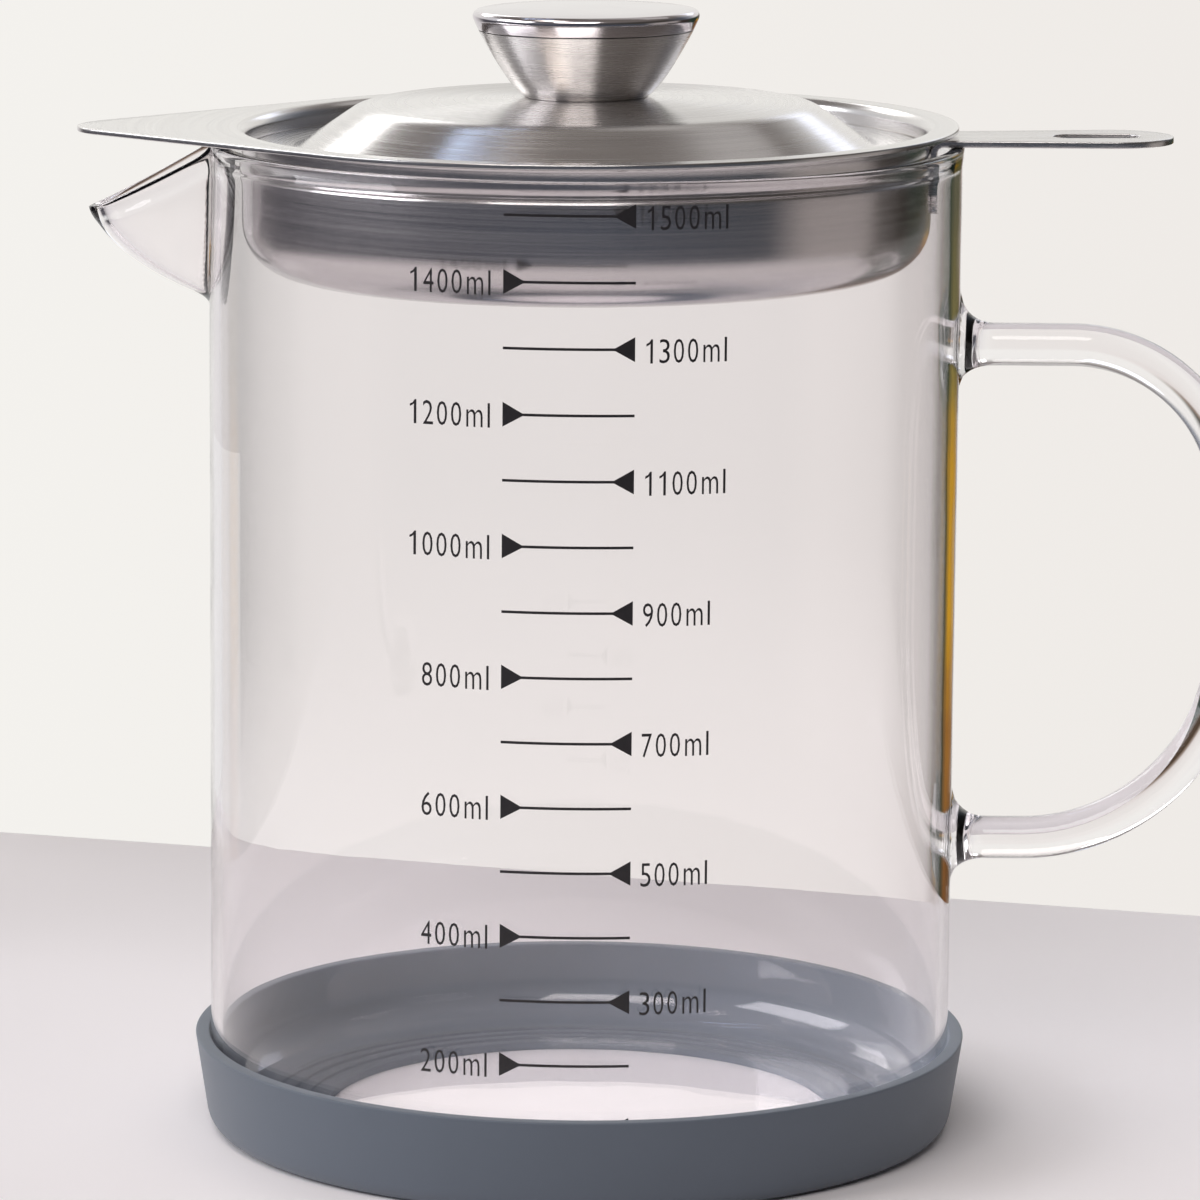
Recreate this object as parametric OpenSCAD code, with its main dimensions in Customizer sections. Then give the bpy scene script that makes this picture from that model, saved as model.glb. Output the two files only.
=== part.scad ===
// Oil strainer pot: a glass jug in a silicone boot, with a lift-out steel
// strainer on its rim and a loose steel lid in the strainer.
// Millimetres. The jug's axis is the Z axis, the table is z = 0, the spout
// points to -X, the handles to +X, and the printed scale faces -Y.

/* [Glass jug] */
// Outside diameter of the glass
glass_d = 117; // [104:1:130]
// Height of the glass from its underside to the top of the rim
glass_h = 155; // [140:1:190]
// Thickness of the glass wall
glass_wall = 1.7; // [1.4:0.1:2.6]
// Thickness of the glass floor
glass_floor = 1.8; // [1.4:0.1:3.6]
// Outside radius of the corner between wall and floor
glass_corner = 8; // [5:0.5:14]
// How much thicker than the wall the bead round the rim is
rim_swell = 0.5; // [0.2:0.1:1]

/* [Spout] */
// How far the tip of the spout stands out from the wall
spout_reach = 18.6; // [14:0.2:24]
// How far the tip lies below the rim
spout_dip = 10.7; // [7:0.1:15]
// Half of the width of the spout's mouth at the wall
spout_half_w = 9.7; // [7:0.1:12]
// Depth of the spout at the wall
spout_depth = 23.6; // [16:0.2:30]
// Thickness of the glass at the tip, where it was drawn out
spout_lip = 1.1; // [0.8:0.1:1.5]

/* [Printed scale] */
// Volume of the top mark in ml
scale_top = 1500; // [1000:100:1500]
// Length of one mark with its arrow
mark_len = 19.5; // [14:0.5:26]
// Height of a mark's line
mark_line = 0.4; // [0.3:0.1:0.8]
// Length of the arrow head
arrow_len = 3.3; // [2:0.1:5]
// Height of the arrow head
arrow_h = 3.7; // [2:0.1:5]
// Where the middle of the marks lies along X
mark_x = -2.3; // [-8:0.1:8]
// Thickness of the fired ink
ink_t = 0.08; // [0.05:0.01:0.15]

/* [Glass handle] */
// Diameter of the glass rod
rod_d = 6.7; // [5.5:0.1:8.5]
// Height of the upper arm's middle line over the table
handle_top = 125; // [115:1:132]
// Height of the lower arm's middle line over the table
handle_low = 46.3; // [38:1:56]
// Distance from the glass to the middle line of the upright grip
handle_reach = 43.1; // [40:0.5:56]
// Radius of the upper bend
bend_top = 25.5; // [12:0.5:28]
// Radius of the lower bend
bend_low = 32; // [12:0.5:33]
// Length of the flared weld at each end of the rod
weld_len = 5.3; // [3:0.1:7]
// How far each weld spreads to the sides
weld_side = 4; // [2:0.1:6]
// How far each weld spreads up the wall
weld_up = 5.2; // [2:0.1:7]
// How far each weld spreads down the wall
weld_down = 3.4; // [2:0.1:6]

/* [Silicone base] */
// Height of the base
base_h = 15; // [12:0.5:30]
// Thickness of the base's wall at its lip
base_wall = 2; // [1.4:0.1:3]
// Thickness of the base's floor
base_floor = 1.3; // [1:0.1:2.5]
// How much the outside narrows from the lip to the bottom
base_taper = 0.9; // [0.2:0.1:1.3]
// Radius of the outer bottom edge
base_round = 4.5; // [3:0.1:6]
// Diameter of the opening in the base's floor
base_hole = 80; // [50:1:84]
// Spacing of the grooves in the base's floor
groove_pitch = 3; // [2:0.1:5]
// Width of one groove
groove_w = 1.5; // [0.8:0.1:1.8]
// Depth of one groove
groove_t = 0.4; // [0.2:0.1:0.7]

/* [Strainer] */
// Thickness of the strainer's sheet
sheet_t = 0.8; // [0.5:0.1:1]
// Free space between the strainer's wall and the glass
wall_space = 3.3; // [2.9:0.1:6]
// Depth of the strainer under the top of its flange
basket_h = 22.5; // [19:0.5:40]
// Outside radius of the strainer's bottom corner
basket_corner = 8; // [5:0.5:10]
// Radius of the bend from the wall to the flange
flange_bend = 1.8; // [1.2:0.1:2.2]
// How far the flange stays inside the outside of the glass
flange_inset = 0.7; // [0.2:0.1:1.4]
// How far the beak reaches past the spout's tip
beak_over = 1.9; // [0.5:0.1:4]
// Radius of the beak's tip
beak_tip = 10; // [5:0.5:16]
// Width of the flat ring in the floor that carries the mesh
floor_ring = 2.5; // [2:0.1:5]
// How far the rolled bead that carries the lid stands inwards
lid_bead = 1.2; // [1.1:0.05:1.4]
// Height of the two pips under the flange, on both sides of the spout
pip_h = 1.1; // [0.8:0.1:1.6]
// Diameter of one pip
pip_d = 3; // [2:0.1:4]
// Angle of the pips from the middle of the spout
pip_angle = 14; // [12:1:30]

/* [Mesh] */
// Thickness of the mesh
mesh_t = 0.4; // [0.3:0.1:0.8]
// Spacing of the wires, coarser than the real weave
mesh_pitch = 5; // [4:0.1:8]
// Width of one wire
mesh_wire = 1; // [0.6:0.1:1.6]
// Width of the ring that holds the mesh down
ring_w = 2.3; // [1.6:0.1:3]
// Thickness of that ring
ring_t = 0.7; // [0.5:0.1:1.2]

/* [Strainer handle] */
// Thickness of the handle's sheet
tab_t = 1; // [0.8:0.1:1.4]
// Air between the flange and the handle's plate
tab_air = 1.1; // [0.6:0.1:1.6]
// How far the handle reaches past the flange
tab_reach = 33.4; // [28:0.2:50]
// Width of the handle at the wall
tab_neck = 15; // [12:0.5:17]
// Width of the handle at its round end
tab_end = 19; // [17:0.5:24]
// Length of the slot from end to end
slot_len = 13.6; // [10:0.2:18]
// Width of the slot
slot_w = 5.6; // [4.6:0.1:8]
// Distance from the slot to the end of the handle
slot_edge = 5.1; // [4:0.1:8]
// How far down the wall the handle's leg reaches under the flange
leg_h = 13.5; // [10:0.5:18]
// Radius of the leg's lower corners
leg_round = 3; // [1:0.5:6]
// Inside radius of the bend between plate and leg
tab_bend = 1.2; // [1:0.1:1.6]

/* [Lid] */
// Thickness of the lid's sheet
lid_t = 0.7; // [0.5:0.1:0.8]
// How deep the lid's brim lies under the top of the flange
lid_sink = 3.3; // [2.8:0.1:5]
// Free space round the lid's brim
lid_play = 0.3; // [0.2:0.05:0.4]
// Width of the flat brim
brim_w = 7.35; // [4:0.05:10]
// Width of the sloped part
cone_w = 9.8; // [6:0.1:14]
// Height of the sloped part
cone_h = 6.6; // [4:0.1:9]
// Rise of the shallow top from the slope to the knob
crown_h = 1.08; // [0.4:0.02:3]
// Radius of the bend at the foot of the slope
foot_bend = 2.5; // [1:0.1:4]
// Radius of the bend at the head of the slope
head_bend = 5; // [2:0.1:8]
// Width of the flat that the knob's foot leaves free round it
knob_land = 1; // [0.6:0.1:3]

/* [Knob] */
// Radius of the knob at its foot
knob_foot = 9.5; // [7:0.1:12]
// Radius of the knob at its top edge
knob_top = 18.05; // [14:0.05:24]
// Height of the knob to the edge of its top
knob_h = 12.95; // [10:0.05:22]
// Hollow of the knob's side: below 1 it swells out, at 1 it is a plain cone
knob_curve = 0.76; // [0.6:0.02:1]
// Height of the polished band of the cap
cap_band = 2.5; // [1.5:0.1:4]
// Rise of the cap's top
cap_crown = 0.5; // [0.2:0.1:1.5]
// How far the cap's skirt reaches down into the body
cap_skirt = 2; // [1:0.1:3]
// Thickness of the knob's metal
knob_wall = 1; // [0.8:0.1:1.4]
// Radius of the screw's shank
screw_r = 2; // [1.5:0.1:2.5]
// Radius of the screw's head
head_r = 3.6; // [3:0.1:4.5]
// Height of the screw's head
head_h = 2.2; // [1.6:0.1:2.6]
// Depth of thread inside the insert
screw_grip = 5; // [3:0.5:7]
// Radius of the insert that takes the screw
insert_r = 4.2; // [3.4:0.1:5.4]
// Height of the insert
insert_h = 8; // [7:0.5:9]
// Radius of the washer
washer_r = 6; // [5:0.1:8]
// Thickness of the washer
washer_t = 0.8; // [0.5:0.1:1]

/* [Clearances] */
// Gap between the glass and the base's wall
side_gap = 0.2; // [0.1:0.05:0.4]
// Gap under a piece that rests on another
seat_gap = 0.1; // [0.05:0.05:0.3]
// Gap between pieces that are welded, printed or screwed together
join_gap = 0.02; // [0.01:0.01:0.05]
// Gap round a piece that is pushed into another
push_gap = 0.05; // [0.02:0.01:0.1]
// Gap round the screw in the lid's hole
screw_play = 0.2; // [0.1:0.05:0.4]
// Open seam between the knob's body and its cap
cap_seam = 0.1; // [0.05:0.05:0.3]

/* [Hidden] */
$fn = 96;

// Steps of a quarter bend, and of the drawn glass forms
bend_steps = 10;
spout_rings = 10;
spout_sides = 13;
weld_rings = 7;
weld_sides = 24;
knob_steps = 10;
corner_steps = 8;
// How far a cutting shape runs past a face
past = 1;

// Glass
glass_r = glass_d / 2;
bore_r = glass_r - glass_wall;
glass_z = base_floor + seat_gap;
rim_z = glass_z + glass_h;
floor_z = glass_z + glass_floor;
rim_mid = (glass_r + bore_r) / 2;
bead_r = (glass_wall + rim_swell) / 2;
inner_corner = max(glass_corner - max(glass_wall, glass_floor), 1);
base_r = glass_r + side_gap + base_wall;

// Spout: station 0 is its tip and station 1 the outside of the wall. Its mouth
// is level with the rim a little inside the bore. Its outside ends in the bore
// over its whole width, and its channel is cut on past that.
mouth_in = 0.6;
spout_sunk = 0.3 + bore_r - sqrt(pow(bore_r, 2) - pow(1.1 * spout_half_w, 2));
spout_cut = 2.4;
spout_nose = 0.004;
channel_lift = 0.2;
// Glass left beside and under the spout's channel, as a share of the wall
side_glass = 0.9;
keel_glass = 0.55;
spout_x = glass_r + spout_reach;
spout_tip_z = rim_z - spout_dip;
mouth_last = 1 + (glass_wall + mouth_in) / spout_reach;
spout_last = 1 + (glass_wall + spout_sunk) / spout_reach;
spout_cut_last = spout_last + spout_cut / spout_reach;
spout_lip_s = spout_lip / spout_reach;
mouth_power = 1.13;
side_power = 0.5;
keel_power = 0.74;

// Scale: 100 ml fills this height, and the rounded corner takes a little more
ml_step = 100000 / (PI * pow(bore_r, 2));
corner_fill = 2 * (1 - PI / 4) * pow(inner_corner, 2) / bore_r;
scale_zero = floor_z + corner_fill;
mark_room = 4;

// Handle
rod_r = rod_d / 2;
grip_x = glass_r + handle_reach;
weld_x = glass_r + weld_len;
weld_sunk = 2;
weld_r = rod_r / cos(180 / weld_sides) + join_gap;

// Strainer, in its own frame: the flange's top is z = 0
flange_r = glass_r - flange_inset;
basket_r = bore_r - wall_space;
basket_in = basket_r - sheet_t;
beak_x = spout_x + beak_over;
beak_angle = acos((flange_r - beak_tip) / (beak_x - beak_tip));
brim_r = basket_in - lid_play;
bead_z = lid_play - lid_sink - lid_t - 1.5 * seat_gap;
basket_floor_z = sheet_t - basket_h;
bead_bend = 0.6;
bead_nose = sheet_t + 0.1;
mesh_inset = 0.2;
mesh_r = basket_r - basket_corner - mesh_inset;
tab_z = -sheet_t - tab_air - tab_t;
pip_z = -sheet_t - pip_h;
leg_out = basket_r + join_gap + tab_t;
leg_angle = asin(tab_neck / 2 / (leg_out + tab_bend));
tab_lap = 0.4;
tab_tip_x = flange_r + tab_reach;

// The strainer rests on the handle's plate at +X and on the pips at -X
pip_x = rim_mid * cos(pip_angle);
pip_y = rim_mid * sin(pip_angle);
lean = atan((pip_z - tab_z) / (rim_mid + pip_x));
flange_z = rim_z + seat_gap - pip_z * cos(lean) + pip_x * sin(lean);

// Lid and knob, in the strainer's frame
cone_r = brim_r - brim_w;
crown_r = cone_r - cone_w;
land_r = knob_foot + knob_land;
land_bend = 3;
knob_z = cone_h + crown_h - lid_sink;
hole_r = screw_r + screw_play;
cap_edge = 0.3;
head_taper = 0.75;
cap_steps = 6;

function unit(v) = v / norm(v);
function left(d) = [-d[1], d[0]];
function turned(v, a) = [v[0] * cos(a) - v[1] * sin(a), v[0] * sin(a) + v[1] * cos(a)];
function flipped(p) = [for (i = [len(p) - 1 : -1 : 0]) p[i]];
function flat(lists) = [for (one = lists) for (p = one) p];
function arc(c, r, a0, a1, n) = [
    for (i = [0 : n])
        let (a = a0 + (a1 - a0) * i / n)
        c + r * [cos(a), sin(a)]
];

// One bend of a sheet: the corner p with radius r on the walked side, and the
// same bend on the sheet's other face, off to the left of the walk
function bend(a, p, b, r, off) =
    let (
        d0 = unit(p - a),
        d1 = unit(b - p),
        s = sign(cross([d0[0], d0[1], 0], [d1[0], d1[1], 0])[2]),
        turn = acos(min(1, d0 * d1)),
        c = p - d0 * r * tan(turn / 2) + s * r * left(d0),
        n = max(1, ceil(bend_steps * turn / 90))
    )
    [for (i = [0 : n]) c - s * (r - s * off) * turned(left(d0), s * turn * i / n)];

function walk(p, r, off) = concat(
    [p[0] + off * left(unit(p[1] - p[0]))],
    flat([for (i = [1 : len(p) - 2]) bend(p[i - 1], p[i], p[i + 1], r[i], off)]),
    [p[len(p) - 1] + off * left(unit(p[len(p) - 1] - p[len(p) - 2]))]
);

// Section of a bent sheet of even thickness t, along the corners p with bend radii r
module sheet_section(p, r, t) {
    polygon(concat(walk(p, r, 0), flipped(walk(p, r, t))));
}

// Solid through rings with the same number of points, each turning left about the way they follow
module loft(rings) {
    m = len(rings[0]);
    n = len(rings);
    sides = [
        for (i = [0 : n - 2], j = [0 : m - 1])
            let (a = i * m + j, b = i * m + (j + 1) % m)
            [a, a + m, b + m, b]
    ];
    caps = [[for (j = [0 : m - 1]) j], [for (j = [m - 1 : -1 : 0]) (n - 1) * m + j]];
    polyhedron(points = flat(rings), faces = concat(sides, caps), convexity = 4);
}

// Brings a piece of the strainer from its own frame to its seat on the rim
module seated() {
    translate([0, 0, flange_z]) rotate([0, -lean, 0]) children();
}

module on_lid() {
    seated() translate([0, 0, knob_z]) children();
}

// Silicone base

module base_section() {
    lip = [base_r, base_h];
    c = [base_r - base_taper - base_round, base_round];
    reach = lip - c;
    a = atan2(reach[1], reach[0]) - acos(base_round / norm(reach));
    cavity = glass_r + side_gap;
    inner = glass_corner + seat_gap;
    polygon(concat(
        [[base_hole / 2, 0]],
        arc(c, base_round, -90, a, corner_steps),
        [lip, [cavity, base_h]],
        arc([cavity - inner, base_floor + inner], inner, 0, -90, corner_steps),
        [[base_hole / 2, base_floor]]
    ));
}

module silicone_base() {
    first = base_hole / 2 + groove_pitch;
    last = glass_r - glass_corner - groove_w;
    color("slategray")
    difference() {
        rotate_extrude() base_section();
        for (r = [first : groove_pitch : last])
            translate([0, 0, base_floor - groove_t])
                difference() {
                    cylinder(r = r + groove_w / 2, h = groove_t + past);
                    translate([0, 0, -past]) cylinder(r = r - groove_w / 2, h = groove_t + 3 * past);
                }
    }
}

// Glass jug

module glass_section() {
    rim = [rim_mid, rim_z - bead_r];
    a = acos(glass_wall / 2 / bead_r);
    polygon(concat(
        [[0, glass_z]],
        arc([glass_r - glass_corner, glass_z + glass_corner], glass_corner, -90, 0, corner_steps),
        arc(rim, bead_r, -a, 180 + a, 2 * corner_steps),
        arc([bore_r - inner_corner, floor_z + inner_corner], inner_corner, 0, -90, corner_steps),
        [[0, floor_z]]
    ));
}

// Height of the spout's mouth at station s, level with the rim where it meets the bore
function mouth_z(s) = spout_tip_z + spout_dip * min(1, pow(s / mouth_last, mouth_power));

// Half ring at station s with half width w that hangs down h from the height z
function spout_ring(s, w, h, z) = [
    for (i = [0 : spout_sides])
        let (a = 180 * i / spout_sides)
        [spout_reach * s - spout_x, -w * cos(a), z - h * sin(a)]
];

module spout_outside() {
    loft([
        for (i = [0 : spout_rings])
            let (s = max(spout_nose, spout_last * pow(i / spout_rings, 2)))
            spout_ring(s, spout_half_w * pow(s, side_power), spout_depth * pow(s, keel_power), mouth_z(s))
    ]);
}

module spout_channel() {
    loft([
        for (i = [0 : spout_rings])
            let (
                s = spout_lip_s + (spout_cut_last - spout_lip_s) * pow(i / spout_rings, 2),
                q = max(spout_nose, s - spout_lip_s),
                w = (spout_half_w - side_glass * glass_wall) * pow(q, side_power),
                h = (spout_depth - keel_glass * glass_wall) * pow(q, keel_power),
                x = spout_reach * s - spout_x
            )
            concat(
                spout_ring(s, w, h + channel_lift, mouth_z(s) + channel_lift),
                [[x, w, rim_z + past], [x, -w, rim_z + past]]
            )
    ]);
}

module glass_body() {
    color([0.82, 0.9, 0.9, 0.4])
    difference() {
        union() {
            rotate_extrude() glass_section();
            difference() {
                spout_outside();
                translate([0, 0, floor_z + glass_corner]) cylinder(r = bore_r, h = glass_h);
            }
        }
        spout_channel();
    }
}

// Printed scale

function mark_z(ml) = scale_zero + ml_step * ml / 100;

module mark(side) {
    mirror([side, 0, 0]) {
        translate([-mark_len / 2, -mark_line / 2]) square([mark_len - arrow_len / 2, mark_line]);
        polygon([
            [mark_len / 2 - arrow_len, 0],
            [mark_len / 2, -arrow_h / 2],
            [mark_len / 2, arrow_h / 2]
        ]);
    }
}

module scale_marks() {
    color("black")
    intersection() {
        difference() {
            cylinder(r = glass_r + join_gap + ink_t, h = rim_z);
            translate([0, 0, -past]) cylinder(r = glass_r + join_gap, h = rim_z + 2 * past);
        }
        rotate([90, 0, 0]) linear_extrude(glass_r + past)
            for (ml = [100 : 100 : scale_top])
                if (mark_z(ml) < rim_z - mark_room)
                    translate([mark_x, mark_z(ml)]) mark(ml % 200 == 0 ? 1 : 0);
    }
}

// Glass handle

function flare(d) = 1 - sqrt(1 - pow(1 - d, 2));

module weld(z) {
    rings = concat(
        [[glass_r - weld_sunk, 1]],
        [for (i = [0 : weld_rings]) [glass_r + weld_len * i / weld_rings, flare(i / weld_rings)]]
    );
    loft([
        for (one = rings)
            [
                for (j = [0 : weld_sides - 1])
                    let (a = 360 * j / weld_sides, grow = sin(a) > 0 ? weld_up : weld_down)
                    [
                        one[0],
                        (weld_r + weld_side * one[1]) * cos(a),
                        z + (weld_r + grow * one[1]) * sin(a)
                    ]
            ]
    ]);
}

module handle_bend(r) {
    rotate([90, 0, 0]) rotate_extrude(angle = 90) translate([r, 0]) circle(r = rod_r);
}

module glass_handle() {
    top_x = grip_x - bend_top;
    low_x = grip_x - bend_low;
    color([0.82, 0.9, 0.9, 0.4])
    difference() {
        union() {
            weld(handle_top);
            weld(handle_low);
            translate([weld_x, 0, handle_top]) rotate([0, 90, 0]) cylinder(r = rod_r, h = top_x - weld_x);
            translate([weld_x, 0, handle_low]) rotate([0, 90, 0]) cylinder(r = rod_r, h = low_x - weld_x);
            translate([top_x, 0, handle_top - bend_top]) handle_bend(bend_top);
            translate([low_x, 0, handle_low + bend_low]) mirror([0, 0, 1]) handle_bend(bend_low);
            translate([grip_x, 0, handle_low + bend_low])
                cylinder(r = rod_r, h = handle_top - bend_top - handle_low - bend_low);
        }
        cylinder(r = glass_r + join_gap, h = rim_z);
    }
}

// Strainer

module flange_outline() {
    tip = beak_x - beak_tip;
    side = [-cos(beak_angle), sin(beak_angle)];
    circle(r = flange_r);
    translate([-tip, 0]) circle(r = beak_tip);
    polygon([
        flange_r * side,
        beak_tip * side - [tip, 0],
        beak_tip * [side[0], -side[1]] - [tip, 0],
        flange_r * [side[0], -side[1]]
    ]);
}

module strainer_basket() {
    color("silver")
    seated() {
        // Wall with the bead that the lid rests on, and the ring in the floor
        rotate_extrude()
            sheet_section(
                [
                    [basket_in + flange_bend, 0],
                    [basket_in, 0],
                    [basket_in, bead_z],
                    [basket_in - lid_bead, bead_z - lid_bead],
                    [basket_in, bead_z - 2 * lid_bead],
                    [basket_in, basket_floor_z],
                    [basket_r - basket_corner - floor_ring, basket_floor_z]
                ],
                [0, flange_bend, bead_bend, bead_nose, bead_bend, basket_corner - sheet_t, 0],
                sheet_t
            );
        // Flange with its beak over the spout
        translate([0, 0, -sheet_t])
            linear_extrude(sheet_t)
                difference() {
                    flange_outline();
                    circle(r = basket_in + flange_bend);
                }
        // Pips that stand on the rim
        for (side = [-1, 1])
            translate([-pip_x, side * pip_y, pip_z]) cylinder(d = pip_d, h = pip_h);
    }
}

module strainer_mesh() {
    count = floor(mesh_r / mesh_pitch);
    color("gainsboro")
    seated()
        translate([0, 0, basket_floor_z])
            linear_extrude(mesh_t)
                intersection() {
                    circle(r = mesh_r);
                    union() {
                        for (i = [-count : count]) {
                            translate([i * mesh_pitch, 0]) square([mesh_wire, 2 * mesh_r], center = true);
                            translate([0, i * mesh_pitch]) square([2 * mesh_r, mesh_wire], center = true);
                        }
                    }
                }
}

module mesh_ring() {
    color("silver")
    seated()
        translate([0, 0, basket_floor_z + mesh_t])
            difference() {
                cylinder(r = mesh_r, h = ring_t);
                translate([0, 0, -past]) cylinder(r = mesh_r - ring_w, h = ring_t + 2 * past);
            }
}

module tab_outline() {
    end = tab_end / 2;
    neck = (leg_out + tab_bend) * sin(leg_angle);
    translate([tab_tip_x - end, 0]) circle(r = end);
    polygon([
        [leg_out, -neck],
        [tab_tip_x - end, -end],
        [tab_tip_x - end, end],
        [leg_out, neck]
    ]);
}

module slot_outline() {
    r = slot_w / 2;
    last = tab_tip_x - slot_edge - r;
    first = last - slot_len + slot_w;
    translate([first, 0]) circle(r = r);
    translate([last, 0]) circle(r = r);
    translate([first, -r]) square([last - first, slot_w]);
}

module leg_outline() {
    half = tab_neck;
    edge = basket_r * sin(leg_angle);
    translate([-half, -leg_h + leg_round]) square([2 * half, leg_h]);
    translate([-edge + leg_round, -leg_h]) square([2 * (edge - leg_round), leg_h]);
    for (side = [-1, 1])
        translate([side * (edge - leg_round), -leg_h + leg_round]) circle(r = leg_round);
}

module strainer_handle() {
    color("silver")
    seated() {
        // Plate that rests on the rim, with its slot
        translate([0, 0, tab_z])
            linear_extrude(tab_t)
                difference() {
                    tab_outline();
                    circle(r = leg_out + tab_bend);
                    slot_outline();
                }
        // Bend and leg, curved along the wall, with a lap into the plate
        intersection() {
            rotate([0, 0, -leg_angle])
                rotate_extrude(angle = 2 * leg_angle)
                    sheet_section(
                        [
                            [leg_out + tab_bend + tab_lap, tab_z + tab_t],
                            [leg_out - tab_t, tab_z + tab_t],
                            [leg_out - tab_t, -leg_h]
                        ],
                        [0, tab_bend + tab_t, 0],
                        tab_t
                    );
            rotate([90, 0, 90]) linear_extrude(glass_r) leg_outline();
        }
    }
}

// Lid

module lid_shell() {
    color("silver")
    seated()
        rotate_extrude()
            sheet_section(
                [
                    [brim_r, -lid_sink],
                    [cone_r, -lid_sink],
                    [crown_r, cone_h - lid_sink],
                    [land_r, knob_z],
                    [hole_r, knob_z]
                ],
                [0, foot_bend, head_bend, land_bend, 0],
                lid_t
            );
}

// Radius of the knob's outside at height h over its foot
function knob_r(h) = knob_foot + (knob_top - knob_foot) * pow(h / knob_h, knob_curve);
function knob_side(h0, h1, inset) = [
    for (i = [0 : knob_steps])
        let (h = h0 + (h1 - h0) * i / knob_steps)
        [knob_r(h) - inset, h]
];

module knob_body() {
    top = knob_h - cap_band - cap_seam;
    color("silver")
    on_lid()
        rotate_extrude()
            polygon(concat(
                [[hole_r, 0]],
                knob_side(0, top, 0),
                flipped(knob_side(knob_wall, top, knob_wall)),
                [[hole_r, knob_wall]]
            ));
}

module knob_cap() {
    low = knob_h - cap_band;
    skirt = knob_r(low - cap_skirt) - knob_wall - push_gap;
    edge = knob_top - cap_edge;
    color("whitesmoke")
    on_lid()
        rotate_extrude()
            polygon(concat(
                [[0, knob_h + cap_crown]],
                [
                    for (i = [1 : cap_steps])
                        let (x = edge * i / cap_steps)
                        [x, knob_h + cap_crown * (1 - pow(x / edge, 2))]
                ],
                [[knob_top, knob_h - cap_edge], [knob_r(low), low], [skirt, low]],
                [[skirt, low - cap_skirt], [skirt - knob_wall, low - cap_skirt]],
                [[skirt - knob_wall, knob_h - knob_wall], [0, knob_h - knob_wall]]
            ));
}

module knob_insert() {
    color("darkgray")
    on_lid()
        translate([0, 0, knob_wall])
            difference() {
                cylinder(r = insert_r, h = insert_h);
                translate([0, 0, -past]) cylinder(r = screw_r + join_gap, h = screw_grip + 2 * past);
            }
}

module knob_washer() {
    color("silver")
    on_lid()
        translate([0, 0, -lid_t - washer_t])
            difference() {
                cylinder(r = washer_r, h = washer_t);
                translate([0, 0, -past]) cylinder(r = hole_r, h = washer_t + 2 * past);
            }
}

module knob_screw() {
    seat = -lid_t - washer_t;
    color("silver")
    on_lid() {
        translate([0, 0, seat - head_h / 2]) {
            cylinder(r = screw_r, h = head_h / 2 - seat + knob_wall + screw_grip);
            cylinder(r = head_r, h = head_h / 2);
        }
        translate([0, 0, seat - head_h])
            cylinder(r1 = head_r * head_taper, r2 = head_r, h = head_h / 2);
    }
}

silicone_base();
glass_body();
glass_handle();
scale_marks();
strainer_basket();
strainer_mesh();
mesh_ring();
strainer_handle();
lid_shell();
knob_body();
knob_cap();
knob_insert();
knob_screw();
knob_washer();
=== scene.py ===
"""Looks of an oil strainer pot: a glass jug in a silicone boot, a steel strainer and a steel lid.

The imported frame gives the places. Sizes are in millimetres in the classes and in metres in the
meshes. The jug's axis is Z, the table is z = 0, the spout points to -X and the scale faces -Y.
"""

import logging
import math
from dataclasses import dataclass, field
from enum import Enum
from typing import Any, Sequence

import bmesh
import bpy
from bmesh.types import BMEdge, BMesh, BMFace, BMVert
from bpy.types import Material, Mesh, NodeSocket, NodeTree, Object
from mathutils import Matrix, Vector
from mathutils.kdtree import KDTree


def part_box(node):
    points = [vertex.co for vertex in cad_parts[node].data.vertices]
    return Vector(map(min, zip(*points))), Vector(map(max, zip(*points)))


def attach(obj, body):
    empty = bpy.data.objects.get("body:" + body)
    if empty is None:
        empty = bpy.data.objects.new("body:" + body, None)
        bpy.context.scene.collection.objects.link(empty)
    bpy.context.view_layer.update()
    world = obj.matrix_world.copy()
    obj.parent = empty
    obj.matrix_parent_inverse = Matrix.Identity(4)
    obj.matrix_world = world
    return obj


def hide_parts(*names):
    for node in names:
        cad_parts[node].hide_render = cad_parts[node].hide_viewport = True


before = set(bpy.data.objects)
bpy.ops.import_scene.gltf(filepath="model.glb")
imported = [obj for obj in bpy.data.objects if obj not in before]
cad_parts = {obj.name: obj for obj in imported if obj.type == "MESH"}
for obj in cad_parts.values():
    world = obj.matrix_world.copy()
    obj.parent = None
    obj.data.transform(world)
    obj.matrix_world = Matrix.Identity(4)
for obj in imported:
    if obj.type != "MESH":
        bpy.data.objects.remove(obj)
log = logging.getLogger("oil_pot")

MM = 0.001
# Points nearer to each other than this, in metres, are one
MERGE = 1e-6
ORIGIN = Vector((0.0, 0.0, 0.0))
UP = Vector((0.0, 0.0, 1.0))
# Two faces that turn by more than this meet in a sharp edge
SHARP = math.radians(50.0)
# The UV map whose first axis runs round Z, and the length of its second axis for a metre
ROUND_MAP = "round"
ROUND_RISE = 10.0
# Values between which most of a noise texture lies, and what they add to a roughness
NOISE = (0.3, 0.7)
DULLING = (-0.04, 0.06)

Key = str | int
Stops = tuple[tuple[float, str], ...]


# Small tools for meshes


@dataclass(frozen=True)
class Corner:
    """A corner of a section: distance from the axis, height and bend radius in millimetres."""

    r: float
    z: float
    bend: float = 0.0


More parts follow.
